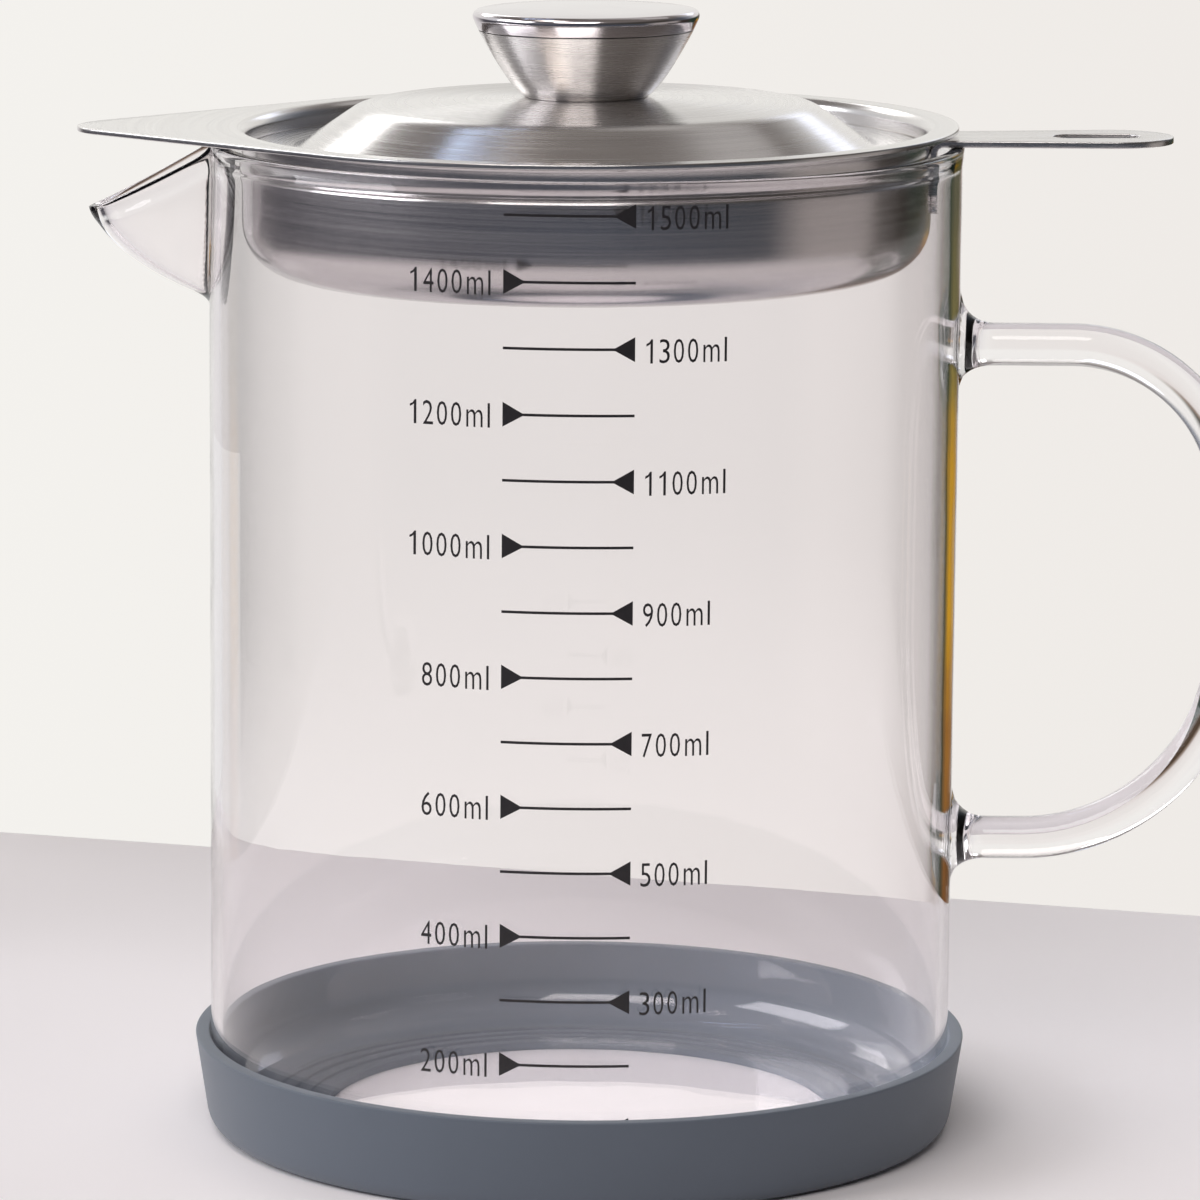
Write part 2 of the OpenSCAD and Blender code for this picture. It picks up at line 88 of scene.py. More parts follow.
def round_off(
    bm: BMesh, geom: Sequence[BMVert] | Sequence[BMEdge], width: float, parts: int, kind: str
) -> None:
    """Rounds off some edges of a mesh or some corners of a wire.

    Args:
        bm: The mesh.
        geom: The edges or corners.
        width: Distance in metres from an edge at which its rounding begins.
        parts: Parts across one rounding.
        kind: EDGES or VERTICES.
    """
    bmesh.ops.bevel(
        bm,
        geom=geom,
        offset=width,
        offset_type="OFFSET",
        segments=parts,
        profile=0.5,
        affect=kind,
        clamp_overlap=kind == "EDGES",
        material=-1,
    )


def draw_section(corners: Sequence[Corner], closed: bool = False, parts: int = 8) -> BMesh:
    """Draws a section as a wire in the XZ plane and rounds its corners.

    Args:
        corners: The section's corners in order.
        closed: Whether the last corner joins the first.
        parts: Edges of one rounded corner.

    Returns:
        The wire as a new mesh.
    """
    bm = bmesh.new()
    spots = [bm.verts.new((c.r * MM, 0.0, c.z * MM)) for c in corners]
    ends = spots[1:] + spots[:1] if closed else spots[1:]
    for spot, end in zip(spots, ends):
        bm.edges.new((spot, end))
    for corner, spot in zip(corners, spots):
        if corner.bend > 0.0:
            one, two = (edge.other_vert(spot).co - spot.co for edge in spot.link_edges)
            reach = corner.bend * MM * math.tan((math.pi - one.angle(two)) / 2.0)
            round_off(bm, [spot], reach, parts, "VERTICES")
    return bm


def of_kind(items: Sequence[BMVert | BMEdge | BMFace], kind: type) -> list[Any]:
    """The items of one kind out of what an operator gives back."""
    return [item for item in items if isinstance(item, kind)]


def split_edges(bm: BMesh, edges: Sequence[BMEdge], longest: float) -> None:
    """Splits each edge of a wire into equal parts.

    Args:
        bm: The mesh.
        edges: The edges to split.
        longest: Length in millimetres that no part passes.
    """
    for edge in edges:
        cuts = math.ceil(edge.calc_length() / (longest * MM)) - 1
        if cuts > 0:
            bmesh.ops.subdivide_edges(bm, edges=[edge], cuts=cuts)


def turn_wire(bm: BMesh, start: float, arcs: Sequence[tuple[float, int]]) -> None:
    """Turns the mesh's wire round the Z axis into a skin with its faces outwards.

    Args:
        bm: The mesh, which holds the wire alone.
        start: Angle in degrees at which the first arc begins.
        arcs: Angle in degrees and number of steps of each arc, one after the other.
    """
    first = Matrix.Rotation(math.radians(start), 3, "Z")
    bmesh.ops.rotate(bm, verts=bm.verts[:], cent=ORIGIN, matrix=first)
    geom = bm.verts[:] + bm.edges[:]
    for angle, steps in arcs:
        spun = bmesh.ops.spin(
            bm,
            geom=geom,
            cent=ORIGIN,
            axis=UP,
            dvec=ORIGIN,
            angle=math.radians(angle),
            steps=steps,
            use_merge=angle == 360.0,
            use_duplicate=False,
        )
        geom = spun["geom_last"]
    bmesh.ops.remove_doubles(bm, verts=bm.verts[:], dist=MERGE)
    bmesh.ops.recalc_face_normals(bm, faces=bm.faces[:])


def turn_section(
    corners: Sequence[Corner], steps: int = 192, closed: bool = True, parts: int = 8
) -> BMesh:
    """Draws a section and turns it all the way round.

    Args:
        corners: The section's corners in order.
        steps: Steps of the full turn.
        closed: Whether the last corner joins the first.
        parts: Edges of one rounded corner.

    Returns:
        The skin as a new mesh.
    """
    bm = draw_section(corners, closed, parts)
    turn_wire(bm, 0.0, ((360.0, steps),))
    return bm


def draw_block(size: Sequence[float], middle: Sequence[float], turn: float) -> BMesh:
    """A block that is turned about Z.

    Args:
        size: Its lengths in millimetres.
        middle: Its middle in millimetres.
        turn: Its turn in radians.

    Returns:
        The block as a new mesh.
    """
    bm = bmesh.new()
    bmesh.ops.create_cube(bm, size=1.0)
    spin = Matrix.Rotation(turn, 3, "Z")
    place = Matrix.LocRotScale(Vector(middle) * MM, spin, Vector(size) * MM)
    bmesh.ops.transform(bm, matrix=place, verts=bm.verts[:])
    return bm


def face_upwards(bm: BMesh) -> None:
    """Turns an open skin so that its outermost level faces look up."""
    bm.normal_update()
    level = [face for face in bm.faces if abs(face.normal.z) > 0.9]
    outer = max(level, key=lambda face: face.calc_center_median().xy.length)
    if outer.normal.z < 0.0:
        bmesh.ops.reverse_faces(bm, faces=bm.faces[:])


def thicken(bm: BMesh, thickness: float) -> None:
    """Gives a skin a thickness in millimetres, away from the way its faces look."""
    bmesh.ops.solidify(bm, geom=bm.faces[:], thickness=thickness * MM)
    bmesh.ops.recalc_face_normals(bm, faces=bm.faces[:])


def ease_edges(bm: BMesh, width: float) -> None:
    """Rounds every sharp edge, by a width in millimetres."""
    bm.normal_update()
    sharp = [
        edge
        for edge in bm.edges
        if len(edge.link_faces) == 2 and edge.calc_face_angle(0.0) > SHARP
    ]
    round_off(bm, sharp, width * MM, parts=3, kind="EDGES")


def map_round(bm: BMesh) -> None:
    """Writes a UV map whose first axis runs round the Z axis, which the brushed finish follows."""
    layer = bm.loops.layers.uv.new(ROUND_MAP)
    for face in bm.faces:
        middle = face.calc_center_median()
        home = math.atan2(middle.y, middle.x)
        for loop in face.loops:
            spot = loop.vert.co
            turn = math.atan2(spot.y, spot.x)
            if turn - home > math.pi:
                turn -= 2.0 * math.pi
            elif home - turn > math.pi:
                turn += 2.0 * math.pi
            rise = (spot.z - spot.xy.length) * ROUND_RISE
            loop[layer].uv = (turn / (2.0 * math.pi), rise)


def make_object(bm: BMesh, name: str, sharp: float = 40.0) -> Object:
    """Makes a smooth shaded object of a finished mesh.

    Args:
        bm: The mesh, which is freed.
        name: The object's name.
        sharp: Angle in degrees between two faces from which their edge stays sharp.

    Returns:
        The new object, at the origin.
    """
    mesh = bpy.data.meshes.new(name)
    bm.to_mesh(mesh)
    bm.free()
    mesh.shade_smooth()
    mesh.set_sharp_from_angle(angle=math.radians(sharp))
    piece = bpy.data.objects.new(name, mesh)
    bpy.context.scene.collection.objects.link(piece)
    return piece


def cut_or_join(piece: Object, other: Object, operation: str) -> None:
    """Applies a Boolean of another object to a piece and removes the other object.

    Args:
        piece: The piece that changes.
        other: The object that is joined or cut away.
        operation: UNION or DIFFERENCE.
    """
    modifier = piece.modifiers.new("boolean", "BOOLEAN")
    modifier.operation = operation
    modifier.solver = "EXACT"
    modifier.object = other
    graph = bpy.context.evaluated_depsgraph_get()
    done = bpy.data.meshes.new_from_object(piece.evaluated_get(graph))
    piece.modifiers.clear()
    old = piece.data
    piece.data = done
    bpy.data.meshes.remove(old)
    bpy.data.objects.remove(other)
    done.name = piece.name
    done.shade_smooth()


def settle(
    piece: Object, body: str, material: Material, replaces: Sequence[str] = ()
) -> None:
    """Dresses a finished piece and hands it to its body.

    Args:
        piece: The piece.
        body: The CAD body that it rides on.
        material: Its finish.
        replaces: The CAD nodes that it stands for.
    """
    piece.data.materials.clear()
    piece.data.materials.append(material)
    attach(piece, body)
    if replaces:
        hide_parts(*replaces)
    log.info("%s: %d faces, on %s", piece.name, len(piece.data.polygons), body)


def dress_node(node: str, material: Material) -> None:
    """Gives a CAD node that stays a better material."""
    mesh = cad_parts[node].data
    mesh.materials.clear()
    mesh.materials.append(material)
    log.info("%s: the CAD node, dressed", node)


# Finishes


def linear(code: str) -> tuple[float, float, float, float]:
    """The linear colour of an sRGB hex value such as #8090A0."""
    parts = [int(code[i : i + 2], 16) / 255.0 for i in (1, 3, 5)]
    red, green, blue = (p / 12.92 if p <= 0.04045 else ((p + 0.055) / 1.055) ** 2.4 for p in parts)
    return (red, green, blue, 1.0)


def add_node(
    tree: NodeTree,
    kind: str,
    settings: dict[Key, Any] | None = None,
    links: dict[Key, NodeSocket] | None = None,
    output: Key = 0,
) -> NodeSocket | None:
    """Adds a shader node with its settings and the links into it.

    Args:
        tree: The node tree.
        kind: The node's type, without the ShaderNode that it begins with.
        settings: Values by property name, or by the name or number of an input.
        links: Sockets by the name or number of the input that they feed.
        output: Name or number of the output that is wanted.

    Returns:
        That output's socket, through whose node the others are found. None for a last node.
    """
    node = tree.nodes.new(f"ShaderNode{kind}")
    for key, value in (settings or {}).items():
        if isinstance(key, str) and key in node.bl_rna.properties:
            setattr(node, key, value)
        else:
            node.inputs[key].default_value = value
    for key, socket in (links or {}).items():
        tree.links.new(socket, node.inputs[key])
    return node.outputs[output] if node.outputs else None


def new_material(name: str) -> tuple[Material, NodeTree]:
    """An empty node material and its tree."""
    material = bpy.data.materials.new(name)
    material.use_nodes = True
    material.node_tree.nodes.clear()
    return material, material.node_tree


class Grain(Enum):
    """The way that the lines of a brushed sheet run."""

    ROUND = "round the axis"
    ALONG = "along X"


@dataclass(frozen=True)
class BrushedSteel:
    """Stainless steel 18/8, turned against an abrasive belt.

    The fine lines stretch each highlight across them, into streaks that point at the axis on a
    turned piece.
    """

    name: str = "brushed_stainless"
    light: str = "#E4E1DF"
    dark: str = "#D2CFCF"
    roughness: float = 0.24
    # Share by which the highlights stretch, and a quarter turn that lays them across the lines
    spread: float = 0.8
    across: float = 0.25
    grain: Grain = Grain.ROUND
    # Real lines are 0.05 mm apart. They are drawn coarser, because the render has 5 pixels a mm.
    line_pitch: float = 0.28
    band_pitch: float = 1.7
    # Length of a line, which lines round the axis have at this radius
    streak: float = 70.0
    streak_radius: float = 50.0
    bump: float = 0.05

    def lines(self, tree: NodeTree, pitch: float) -> NodeSocket:
        """Noise drawn out along the brushing.

        Args:
            tree: The material's tree.
            pitch: Spacing of the lines in millimetres.

        Returns:
            The noise's value socket.
        """
        place = add_node(tree, "TexCoord", output="Object")
        look: dict[Key, Any] = {"Scale": 1.0, "Detail": 3.0}
        fine = 1.0 / (pitch * MM)
        if self.grain is Grain.ALONG:
            scale = (1.0 / (self.streak * MM), fine, fine)
            drawn = add_node(tree, "Mapping", {"Scale": scale}, {"Vector": place})
            return add_node(tree, "TexNoise", look, {"Vector": drawn})
        flat = {"operation": "MULTIPLY", 1: (1.0, 1.0, 0.0)}
        level = add_node(tree, "VectorMath", flat, {0: place})
        radius = add_node(tree, "VectorMath", {"operation": "LENGTH"}, {0: level}, "Value")
        outward = add_node(tree, "VectorMath", {"operation": "NORMALIZE"}, {0: level})
        draw = {"operation": "SCALE", "Scale": self.streak_radius / self.streak}
        drawn = add_node(tree, "VectorMath", draw, {0: outward})
        x, y, _ = add_node(tree, "SeparateXYZ", links={0: drawn}).node.outputs
        height = add_node(tree, "SeparateXYZ", links={0: place}, output="Z")
        high, far = (
            add_node(tree, "Math", {"operation": "MULTIPLY", 1: fine}, {0: value})
            for value in (height, radius)
        )
        spot = add_node(tree, "CombineXYZ", links={0: x, 1: y, 2: high})
        look = {"noise_dimensions": "4D", **look}
        return add_node(tree, "TexNoise", look, {"Vector": spot, "W": far})

    def build(self) -> Material:
        """The material."""
        material, tree = new_material(self.name)
        fine = self.lines(tree, self.line_pitch)
        bands = self.lines(tree, self.band_pitch)
        tints = {"data_type": "RGBA", 6: linear(self.dark), 7: linear(self.light)}
        ends = (*NOISE, *(self.roughness + more for more in DULLING))
        relief = {"Strength": self.bump, "Distance": 0.05 * MM}
        settings: dict[Key, Any] = {"Metallic": 1.0}
        links: dict[Key, NodeSocket] = {
            "Base Color": add_node(tree, "Mix", tints, {0: bands}, 2),
            "Roughness": add_node(tree, "MapRange", dict(enumerate(ends, 1)), {0: fine}),
            "Normal": add_node(tree, "Bump", relief, {"Height": fine}),
        }
        if self.grain is Grain.ROUND:
            settings |= {"Anisotropic": self.spread, "Anisotropic Rotation": self.across}
            way = {"direction_type": "UV_MAP", "uv_map": ROUND_MAP}
            links["Tangent"] = add_node(tree, "Tangent", way)
        shader = add_node(tree, "BsdfPrincipled", settings, links)
        add_node(tree, "OutputMaterial", links={"Surface": shader})
        return material


@dataclass(frozen=True)
class PolishedSteel:
    """Stainless steel, buffed on a wheel, which leaves a mirror with faint wipe marks."""

    name: str = "polished_stainless"
    colour: str = "#DBD6D9"
    roughness: float = 0.09
    # Roughness that the wipe marks add, and the noise's values at which they begin and are full
    smear: float = 0.07
    smear_span: tuple[float, float] = (0.3, 0.75)
    cloud: float = 9.0

    def build(self) -> Material:
        """The material."""
        material, tree = new_material(self.name)
        place = add_node(tree, "TexCoord", output="Object")
        marks = {"Scale": 1.0 / (self.cloud * MM), "Detail": 4.0}
        cloud = add_node(tree, "TexNoise", marks, {"Vector": place})
        low, high = self.smear_span
        dull = {1: low, 2: high, 3: self.roughness, 4: self.roughness + self.smear}
        rough = add_node(tree, "MapRange", dull, {0: cloud})
        settings = {"Base Color": linear(self.colour), "Metallic": 1.0}
        shader = add_node(tree, "BsdfPrincipled", settings, {"Roughness": rough})
        add_node(tree, "OutputMaterial", links={"Surface": shader})
        return material


@dataclass(frozen=True)
class BorosilicateGlass:
    """Borosilicate glass, drawn and flame worked: clear, smooth and faintly wavy."""

    name: str = "borosilicate_glass"
    colour: str = "#FEFCFD"
    ior: float = 1.47
    wave: float = 14.0
    bump: float = 0.06
    # What two skins of glass let through to a lamp's shadow
    shade: str = "#FAFAFA"

    def build(self) -> Material:
        """The material, with rays from lamps let through so that the shadow stays pale."""
        material, tree = new_material(self.name)
        place = add_node(tree, "TexCoord", output="Object")
        waves = {"Scale": 1.0 / (self.wave * MM), "Detail": 1.0}
        height = add_node(tree, "TexNoise", waves, {"Vector": place})
        relief = {"Strength": self.bump, "Distance": 0.4 * MM}
        settings = {
            "Base Color": linear(self.colour),
            "Roughness": 0.0,
            "IOR": self.ior,
            "Transmission Weight": 1.0,
        }
        wavy = add_node(tree, "Bump", relief, {"Height": height})
        glass = add_node(tree, "BsdfPrincipled", settings, {"Normal": wavy})
        clear = add_node(tree, "BsdfTransparent", {"Color": linear(self.shade)})
        shadow = add_node(tree, "LightPath", output="Is Shadow Ray")
        both = add_node(tree, "MixShader", links={0: shadow, 1: glass, 2: clear})
        add_node(tree, "OutputMaterial", links={"Surface": both})
        return material


@dataclass(frozen=True)
class FiredInk:
    """Black enamel ink, screen printed and fired, a little uneven where the screen lifted."""

    name: str = "fired_black_enamel"
    colour: str = "#17161A"
    thin: str = "#2A2528"
    roughness: float = 0.42
    speck: float = 0.5

    def build(self) -> Material:
        """The material."""
        material, tree = new_material(self.name)
        place = add_node(tree, "TexCoord", output="Object")
        specks = {"Scale": 1.0 / (self.speck * MM), "Detail": 2.0}
        share = add_node(tree, "TexNoise", specks, {"Vector": place})
        tints = {"data_type": "RGBA", 6: linear(self.colour), 7: linear(self.thin)}
        tint = add_node(tree, "Mix", tints, {0: share}, 2)
        settings = {"Roughness": self.roughness}
        shader = add_node(tree, "BsdfPrincipled", settings, {"Base Color": tint})
        add_node(tree, "OutputMaterial", links={"Surface": shader})
        return material


@dataclass(frozen=True)
class MattSilicone:
    """Silicone rubber, pressed in a blasted mould: matt, dense, with a soft sheen at its edges."""

    name: str = "matt_silicone"
    colour: str = "#5C646F"
    pale: str = "#636B77"
    roughness: float = 0.55
    ior: float = 1.41
    # Grain of the blasted mould, about 0.1 mm, drawn coarser so that it shows
    grit: float = 0.35
    cloud: float = 22.0
    bump: float = 0.10

    def build(self) -> Material:
        """The material."""
        material, tree = new_material(self.name)
        place = add_node(tree, "TexCoord", output="Object")
        cloud, grit = (
            add_node(tree, "TexNoise", {"Scale": 1.0 / (size * MM), "Detail": d}, {"Vector": place})
            for size, d in ((self.cloud, 4.0), (self.grit, 2.0))
        )
        tints = {"data_type": "RGBA", 6: linear(self.colour), 7: linear(self.pale)}
        ends = (*NOISE, *(self.roughness + more for more in DULLING))
        relief = {"Strength": self.bump, "Distance": 0.05 * MM}
        settings = {"IOR": self.ior, "Sheen Weight": 0.15, "Sheen Roughness": 0.5}
        links: dict[Key, NodeSocket] = {
            "Base Color": add_node(tree, "Mix", tints, {0: cloud}, 2),
            "Roughness": add_node(tree, "MapRange", dict(enumerate(ends, 1)), {0: cloud}),
            "Normal": add_node(tree, "Bump", relief, {"Height": grit}),
        }
        shader = add_node(tree, "BsdfPrincipled", settings, links)
        add_node(tree, "OutputMaterial", links={"Surface": shader})
        return material


# The pieces


@dataclass(frozen=True)
class Seat:
    """Where the strainer sits on the rim: its flange's height and the lean of its handle side."""

    flange_z: float = 158.89
    lean: float = 0.504

    def place(self, bm: BMesh) -> None:
        """Moves a mesh from the strainer's own frame to its seat on the jug."""
        turn = Matrix.Rotation(math.radians(-self.lean), 4, "Y")
        lift = Matrix.Translation((0.0, 0.0, self.flange_z * MM))
        bmesh.ops.transform(bm, matrix=lift @ turn, verts=bm.verts[:])


@dataclass
class SiliconeBoot:
    """The slate-grey boot under the jug."""

    lip: float = 60.95
    height: float = 15.0
    cavity: float = 58.7
    floor: float = 1.3
    taper: float = 2.3
    rounding: float = 3.4
    hole: float = 40.0
    glass_corner: float = 8.1
    groove_pitch: float = 3.0
    groove_width: float = 1.5
    groove_depth: float = 0.4
    grooves: int = 3
    groove_slope: float = 0.1
    groove_edge: float = 0.12
    hole_edge: float = 0.2
    edge: float = 0.3

    def section(self) -> list[Corner]:
        """The section, from the hole's lower edge round the outside to the floor's grooves."""
        corners = [
            Corner(self.hole, 0.0, self.hole_edge),
            Corner(self.lip - self.taper, 0.0, self.rounding),
            Corner(self.lip, self.height, self.edge),
            Corner(self.cavity, self.height, self.edge),
            Corner(self.cavity, self.floor, self.glass_corner),
        ]
        bottom = self.floor - self.groove_depth
        for k in range(self.grooves, 0, -1):
            middle = self.hole + k * self.groove_pitch
            outer, inner = middle + self.groove_width / 2.0, middle - self.groove_width / 2.0
            groove = (
                (outer, self.floor),
                (outer - self.groove_slope, bottom),
                (inner + self.groove_slope, bottom),
                (inner, self.floor),
            )
            corners += [Corner(r, z, self.groove_edge) for r, z in groove]
        return corners + [Corner(self.hole, self.floor, self.hole_edge)]

    def build(self, silicone: Material) -> None:
        """Makes and dresses the boot."""
        boot = make_object(turn_section(self.section(), steps=240, parts=6), "boot")
        settle(boot, "base", silicone, ["silicone_base"])


@dataclass
class Spout:
    """The spout's form: station 0 is its tip and station 1 the outside of the wall."""

    reach: float = 18.6
    dip: float = 10.7
    half_width: float = 9.7
    depth: float = 23.6
    mouth_power: float = 1.13
    side_power: float = 0.5
    keel_power: float = 0.74
    level: float = 1.1237
    blend: float = 3.0
    settle_height: float = 30.0
    # Stations between which the outside is looked for, and how often that span is halved
    span: tuple[float, float] = (1e-4, 1.35)
    halvings: int = 36

    def mouth(self, station: float) -> float:
        """Drop of the mouth's edge under the rim at a station."""
        return self.dip * (1.0 - min(1.0, (station / self.level) ** self.mouth_power))

    def station(self, side: float, drop: float) -> float:
        """The station at which the spout's outside passes a place seen from the front.

        Args:
            side: Distance from the middle plane.
            drop: Distance under the rim.

        Returns:
            The station, found by halving.
        """
        low, high = self.span
        for _ in range(self.halvings):
            s = (low + high) / 2.0
            wide = side / (self.half_width * s**self.side_power)
            deep = max(0.0, drop - self.mouth(s)) / (self.depth * s**self.keel_power)
            if wide * wide + deep * deep > 1.0:
                low = s
            else:
                high = s
        return high

    def pull(self, bm: BMesh, radius: float, rim: float) -> None:
        """Pulls the spout out of the jug's outer skin.

        Args:
            bm: The skin.
            radius: The jug's outside radius.
            rim: Height of the rim.
        """
        widest = self.half_width * self.level**self.side_power
        for vert in bm.verts:
            side, z = abs(vert.co.y) / MM, vert.co.z / MM
            if vert.co.x > 0.0 or side > widest + self.blend or z < rim - self.settle_height:
                continue
            share = (z - rim + self.settle_height) / self.settle_height
            z -= self.mouth((side / self.half_width) ** 2) * share**2
            wall = math.sqrt(radius**2 - side**2)
            out = radius + self.reach * (1.0 - self.station(side, rim - z)) - wall
            out = max(out, 0.0) + max(self.blend - abs(out), 0.0) ** 2 / (4.0 * self.blend)
            vert.co = Vector((-(wall + out) * MM, vert.co.y, z * MM))


@dataclass
class GlassJug:
    """The jug with its spout, and its rod handle melted on."""

    wall: float = 1.7
    corner: float = 8.0
    swell: float = 0.25
    bead_width: float = 3.4
    spout: Spout = field(default_factory=Spout)
    spout_sector: float = 26.0
    # Steps round the plain part and round the spout, and longest edges up the spout, up the plain
    # wall and across the floor
    steps: tuple[int, int] = (334, 78)
    grid: tuple[float, float, float] = (1.0, 3.0, 10.0)
    rim_share: float = 0.44
    rod: float = 3.35
    arm_top: float = 125.0
    arm_low: float = 46.3
    grip: float = 101.6
    bend_top: float = 25.5
    bend_low: float = 32.0
    # Parts of the upper arm, its bend, the grip, the lower bend and the lower arm
    rod_parts: tuple[int, int, int, int, int] = (8, 24, 6, 28, 4)
    weld_length: float = 5.3
    weld_side: float = 4.0
    weld_up: float = 5.2
    weld_down: float = 3.4
    weld_rings: int = 9
    weld_sunk: float = 0.9
    # Share by which the weld's edge waves, and its waves round the rod
    weld_wave: tuple[float, float] = (0.05, 5.0)
    dimple_depth: float = 0.55
    dimple_half: tuple[float, float] = (6.2, 8.0)

    def __post_init__(self) -> None:
        """Reads the jug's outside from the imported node."""
        low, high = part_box("glass_body")
        self.base = low.z / MM
        self.rim = high.z / MM
        self.radius = high.y / MM - self.swell

    def draw_skin(self) -> BMesh:
        """The jug's outer skin with the spout pulled out.

        Returns:
            The skin as a new mesh.
        """
        spout_foot = self.rim - self.spout.settle_height
        corners = [
            Corner(0.0, self.base),
            Corner(self.radius, self.base, self.corner),
            Corner(self.radius, spout_foot),
            Corner(self.radius, self.rim),
        ]
        bm = draw_section(corners, parts=12)
        up_spout, up_wall, across = self.grid
        for edge in bm.edges[:]:
            low, high = sorted(vert.co.z / MM for vert in edge.verts)
            longest = up_spout if low + high > 2.0 * spout_foot else up_wall
            split_edges(bm, [edge], longest if high - low > self.corner else across)
        angles = (360.0 - self.spout_sector, self.spout_sector)
        start = 180.0 + self.spout_sector / 2.0
        turn_wire(bm, start, tuple(zip(angles, self.steps)))
        self.spout.pull(bm, self.radius, self.rim)
        return bm

    def round_rim(self, bm: BMesh) -> None:
        """Rounds the rim's two edges and swells it into its fire-polished bead.

        Args:
            bm: The jug with its wall's thickness.
        """
        mark = bm.verts.layers.int["rim"]
        ends = [face for face in bm.faces if all(vert[mark] for vert in face.verts)]
        tree = KDTree(len(ends))
        for number, face in enumerate(ends):
            tree.insert(face.calc_center_median(), number)
        tree.balance()
        flat = set(ends)
        edges = {edge for face in ends for edge in face.edges if set(edge.link_faces) - flat}
        round_off(bm, list(edges), self.rim_share * self.wall * MM, parts=5, kind="EDGES")
        bm.normal_update()
        middle = self.bead_width / 3.0
        for vert in bm.verts:
            if vert.co.z < (self.rim - self.spout.dip - self.bead_width) * MM:
                continue
            away = tree.find(vert.co)[2] / MM
            share = abs(away - middle) / (self.bead_width - middle)
            if share < 1.0:
                push = self.swell * math.cos(share * math.pi / 2.0) ** 2 * MM
                vert.co += Vector((vert.normal.x, vert.normal.y, 0.0)) * push

    def sink_dimples(self, bm: BMesh) -> None:
        """Draws the inner wall in behind each weld, where the flame softened it.

        Args:
            bm: The jug with its wall's thickness.
        """
        inner = (self.radius - self.wall / 2.0) * MM
        half_side, half_height = self.dimple_half
        for vert in bm.verts:
            if vert.co.x < 0.0 or vert.co.xy.length > inner:
                continue
            for arm in (self.arm_top, self.arm_low):
                side = vert.co.y / MM / half_side
                rise = (vert.co.z / MM - arm) / half_height
                share = 1.0 - side**2 - rise**2
                if share > 0.0:
                    inward = Vector((vert.co.x, vert.co.y, 0.0)).normalized()
                    vert.co -= inward * self.dimple_depth * share**2 * MM

    def draw_handle(self) -> BMesh:
        """The rod handle with a flared weld at each end, closed."""
        arm, top_bend, grip, low_bend, low_arm = self.rod_parts
        bm = bmesh.new()
        ring = bmesh.ops.create_circle(bm, cap_ends=False, segments=48, radius=self.rod * MM)
        face_x = Matrix.Rotation(math.radians(90.0), 4, "Y")
        start = Matrix.Translation(((self.radius + self.weld_length) * MM, 0.0, self.arm_top * MM))
        bmesh.ops.transform(bm, matrix=start @ face_x, verts=ring["verts"])
        first = bm.edges[:]
        top_x, low_x = self.grip - self.bend_top, self.grip - self.bend_low
        edges = self.draw_out(bm, first, (top_x - self.radius - self.weld_length, 0.0, 0.0), arm)
        edges = self.bend_rod(bm, edges, (top_x, self.arm_top - self.bend_top), top_bend)
        upright = self.arm_top - self.bend_top - self.arm_low - self.bend_low
        edges = self.draw_out(bm, edges, (0.0, 0.0, -upright), grip)
        edges = self.bend_rod(bm, edges, (low_x, self.arm_low + self.bend_low), low_bend)
        inwards = self.radius + self.weld_length - low_x
        last = self.draw_out(bm, edges, (inwards, 0.0, 0.0), low_arm)
        self.flare(bm, first, self.arm_top)
        self.flare(bm, last, self.arm_low)
        bmesh.ops.holes_fill(bm, edges=[edge for edge in bm.edges if edge.is_boundary], sides=0)
        bmesh.ops.recalc_face_normals(bm, faces=bm.faces[:])
        return bm

    def draw_out(
        self, bm: BMesh, edges: list[BMEdge], way: tuple[float, float, float], steps: int
    ) -> list[BMEdge]:
        """Draws a ring of edges out in a straight line.

        Args:
            bm: The handle's mesh.
            edges: The ring.
            way: How far it goes, in millimetres.
            steps: Number of equal parts.

        Returns:
            The ring at the far end.
        """
        for _ in range(steps):
            new = bmesh.ops.extrude_edge_only(bm, edges=edges)["geom"]
            verts = of_kind(new, BMVert)
            edges = [e for e in of_kind(new, BMEdge) if all(vert in verts for vert in e.verts)]
            bmesh.ops.translate(bm, verts=verts, vec=Vector(way) * MM / steps)
        return edges

    def bend_rod(
        self, bm: BMesh, edges: list[BMEdge], centre: tuple[float, float], steps: int
    ) -> list[BMEdge]:
        """Bends the rod through a quarter turn, downwards.

        Args:
            bm: The handle's mesh.
            edges: The ring at which the bend begins.
            centre: X and Z of the bend's centre.
            steps: Number of equal parts.

        Returns:
            The ring at the bend's end.
        """
        verts = list({vert for edge in edges for vert in edge.verts})
        spun = bmesh.ops.spin(
            bm,
            geom=verts + edges,
            cent=(centre[0] * MM, 0.0, centre[1] * MM),
            axis=(0.0, 1.0, 0.0),
            dvec=ORIGIN,
            angle=math.radians(90.0),
            steps=steps,
            use_merge=False,
            use_duplicate=False,
        )
        return of_kind(spun["geom_last"], BMEdge)

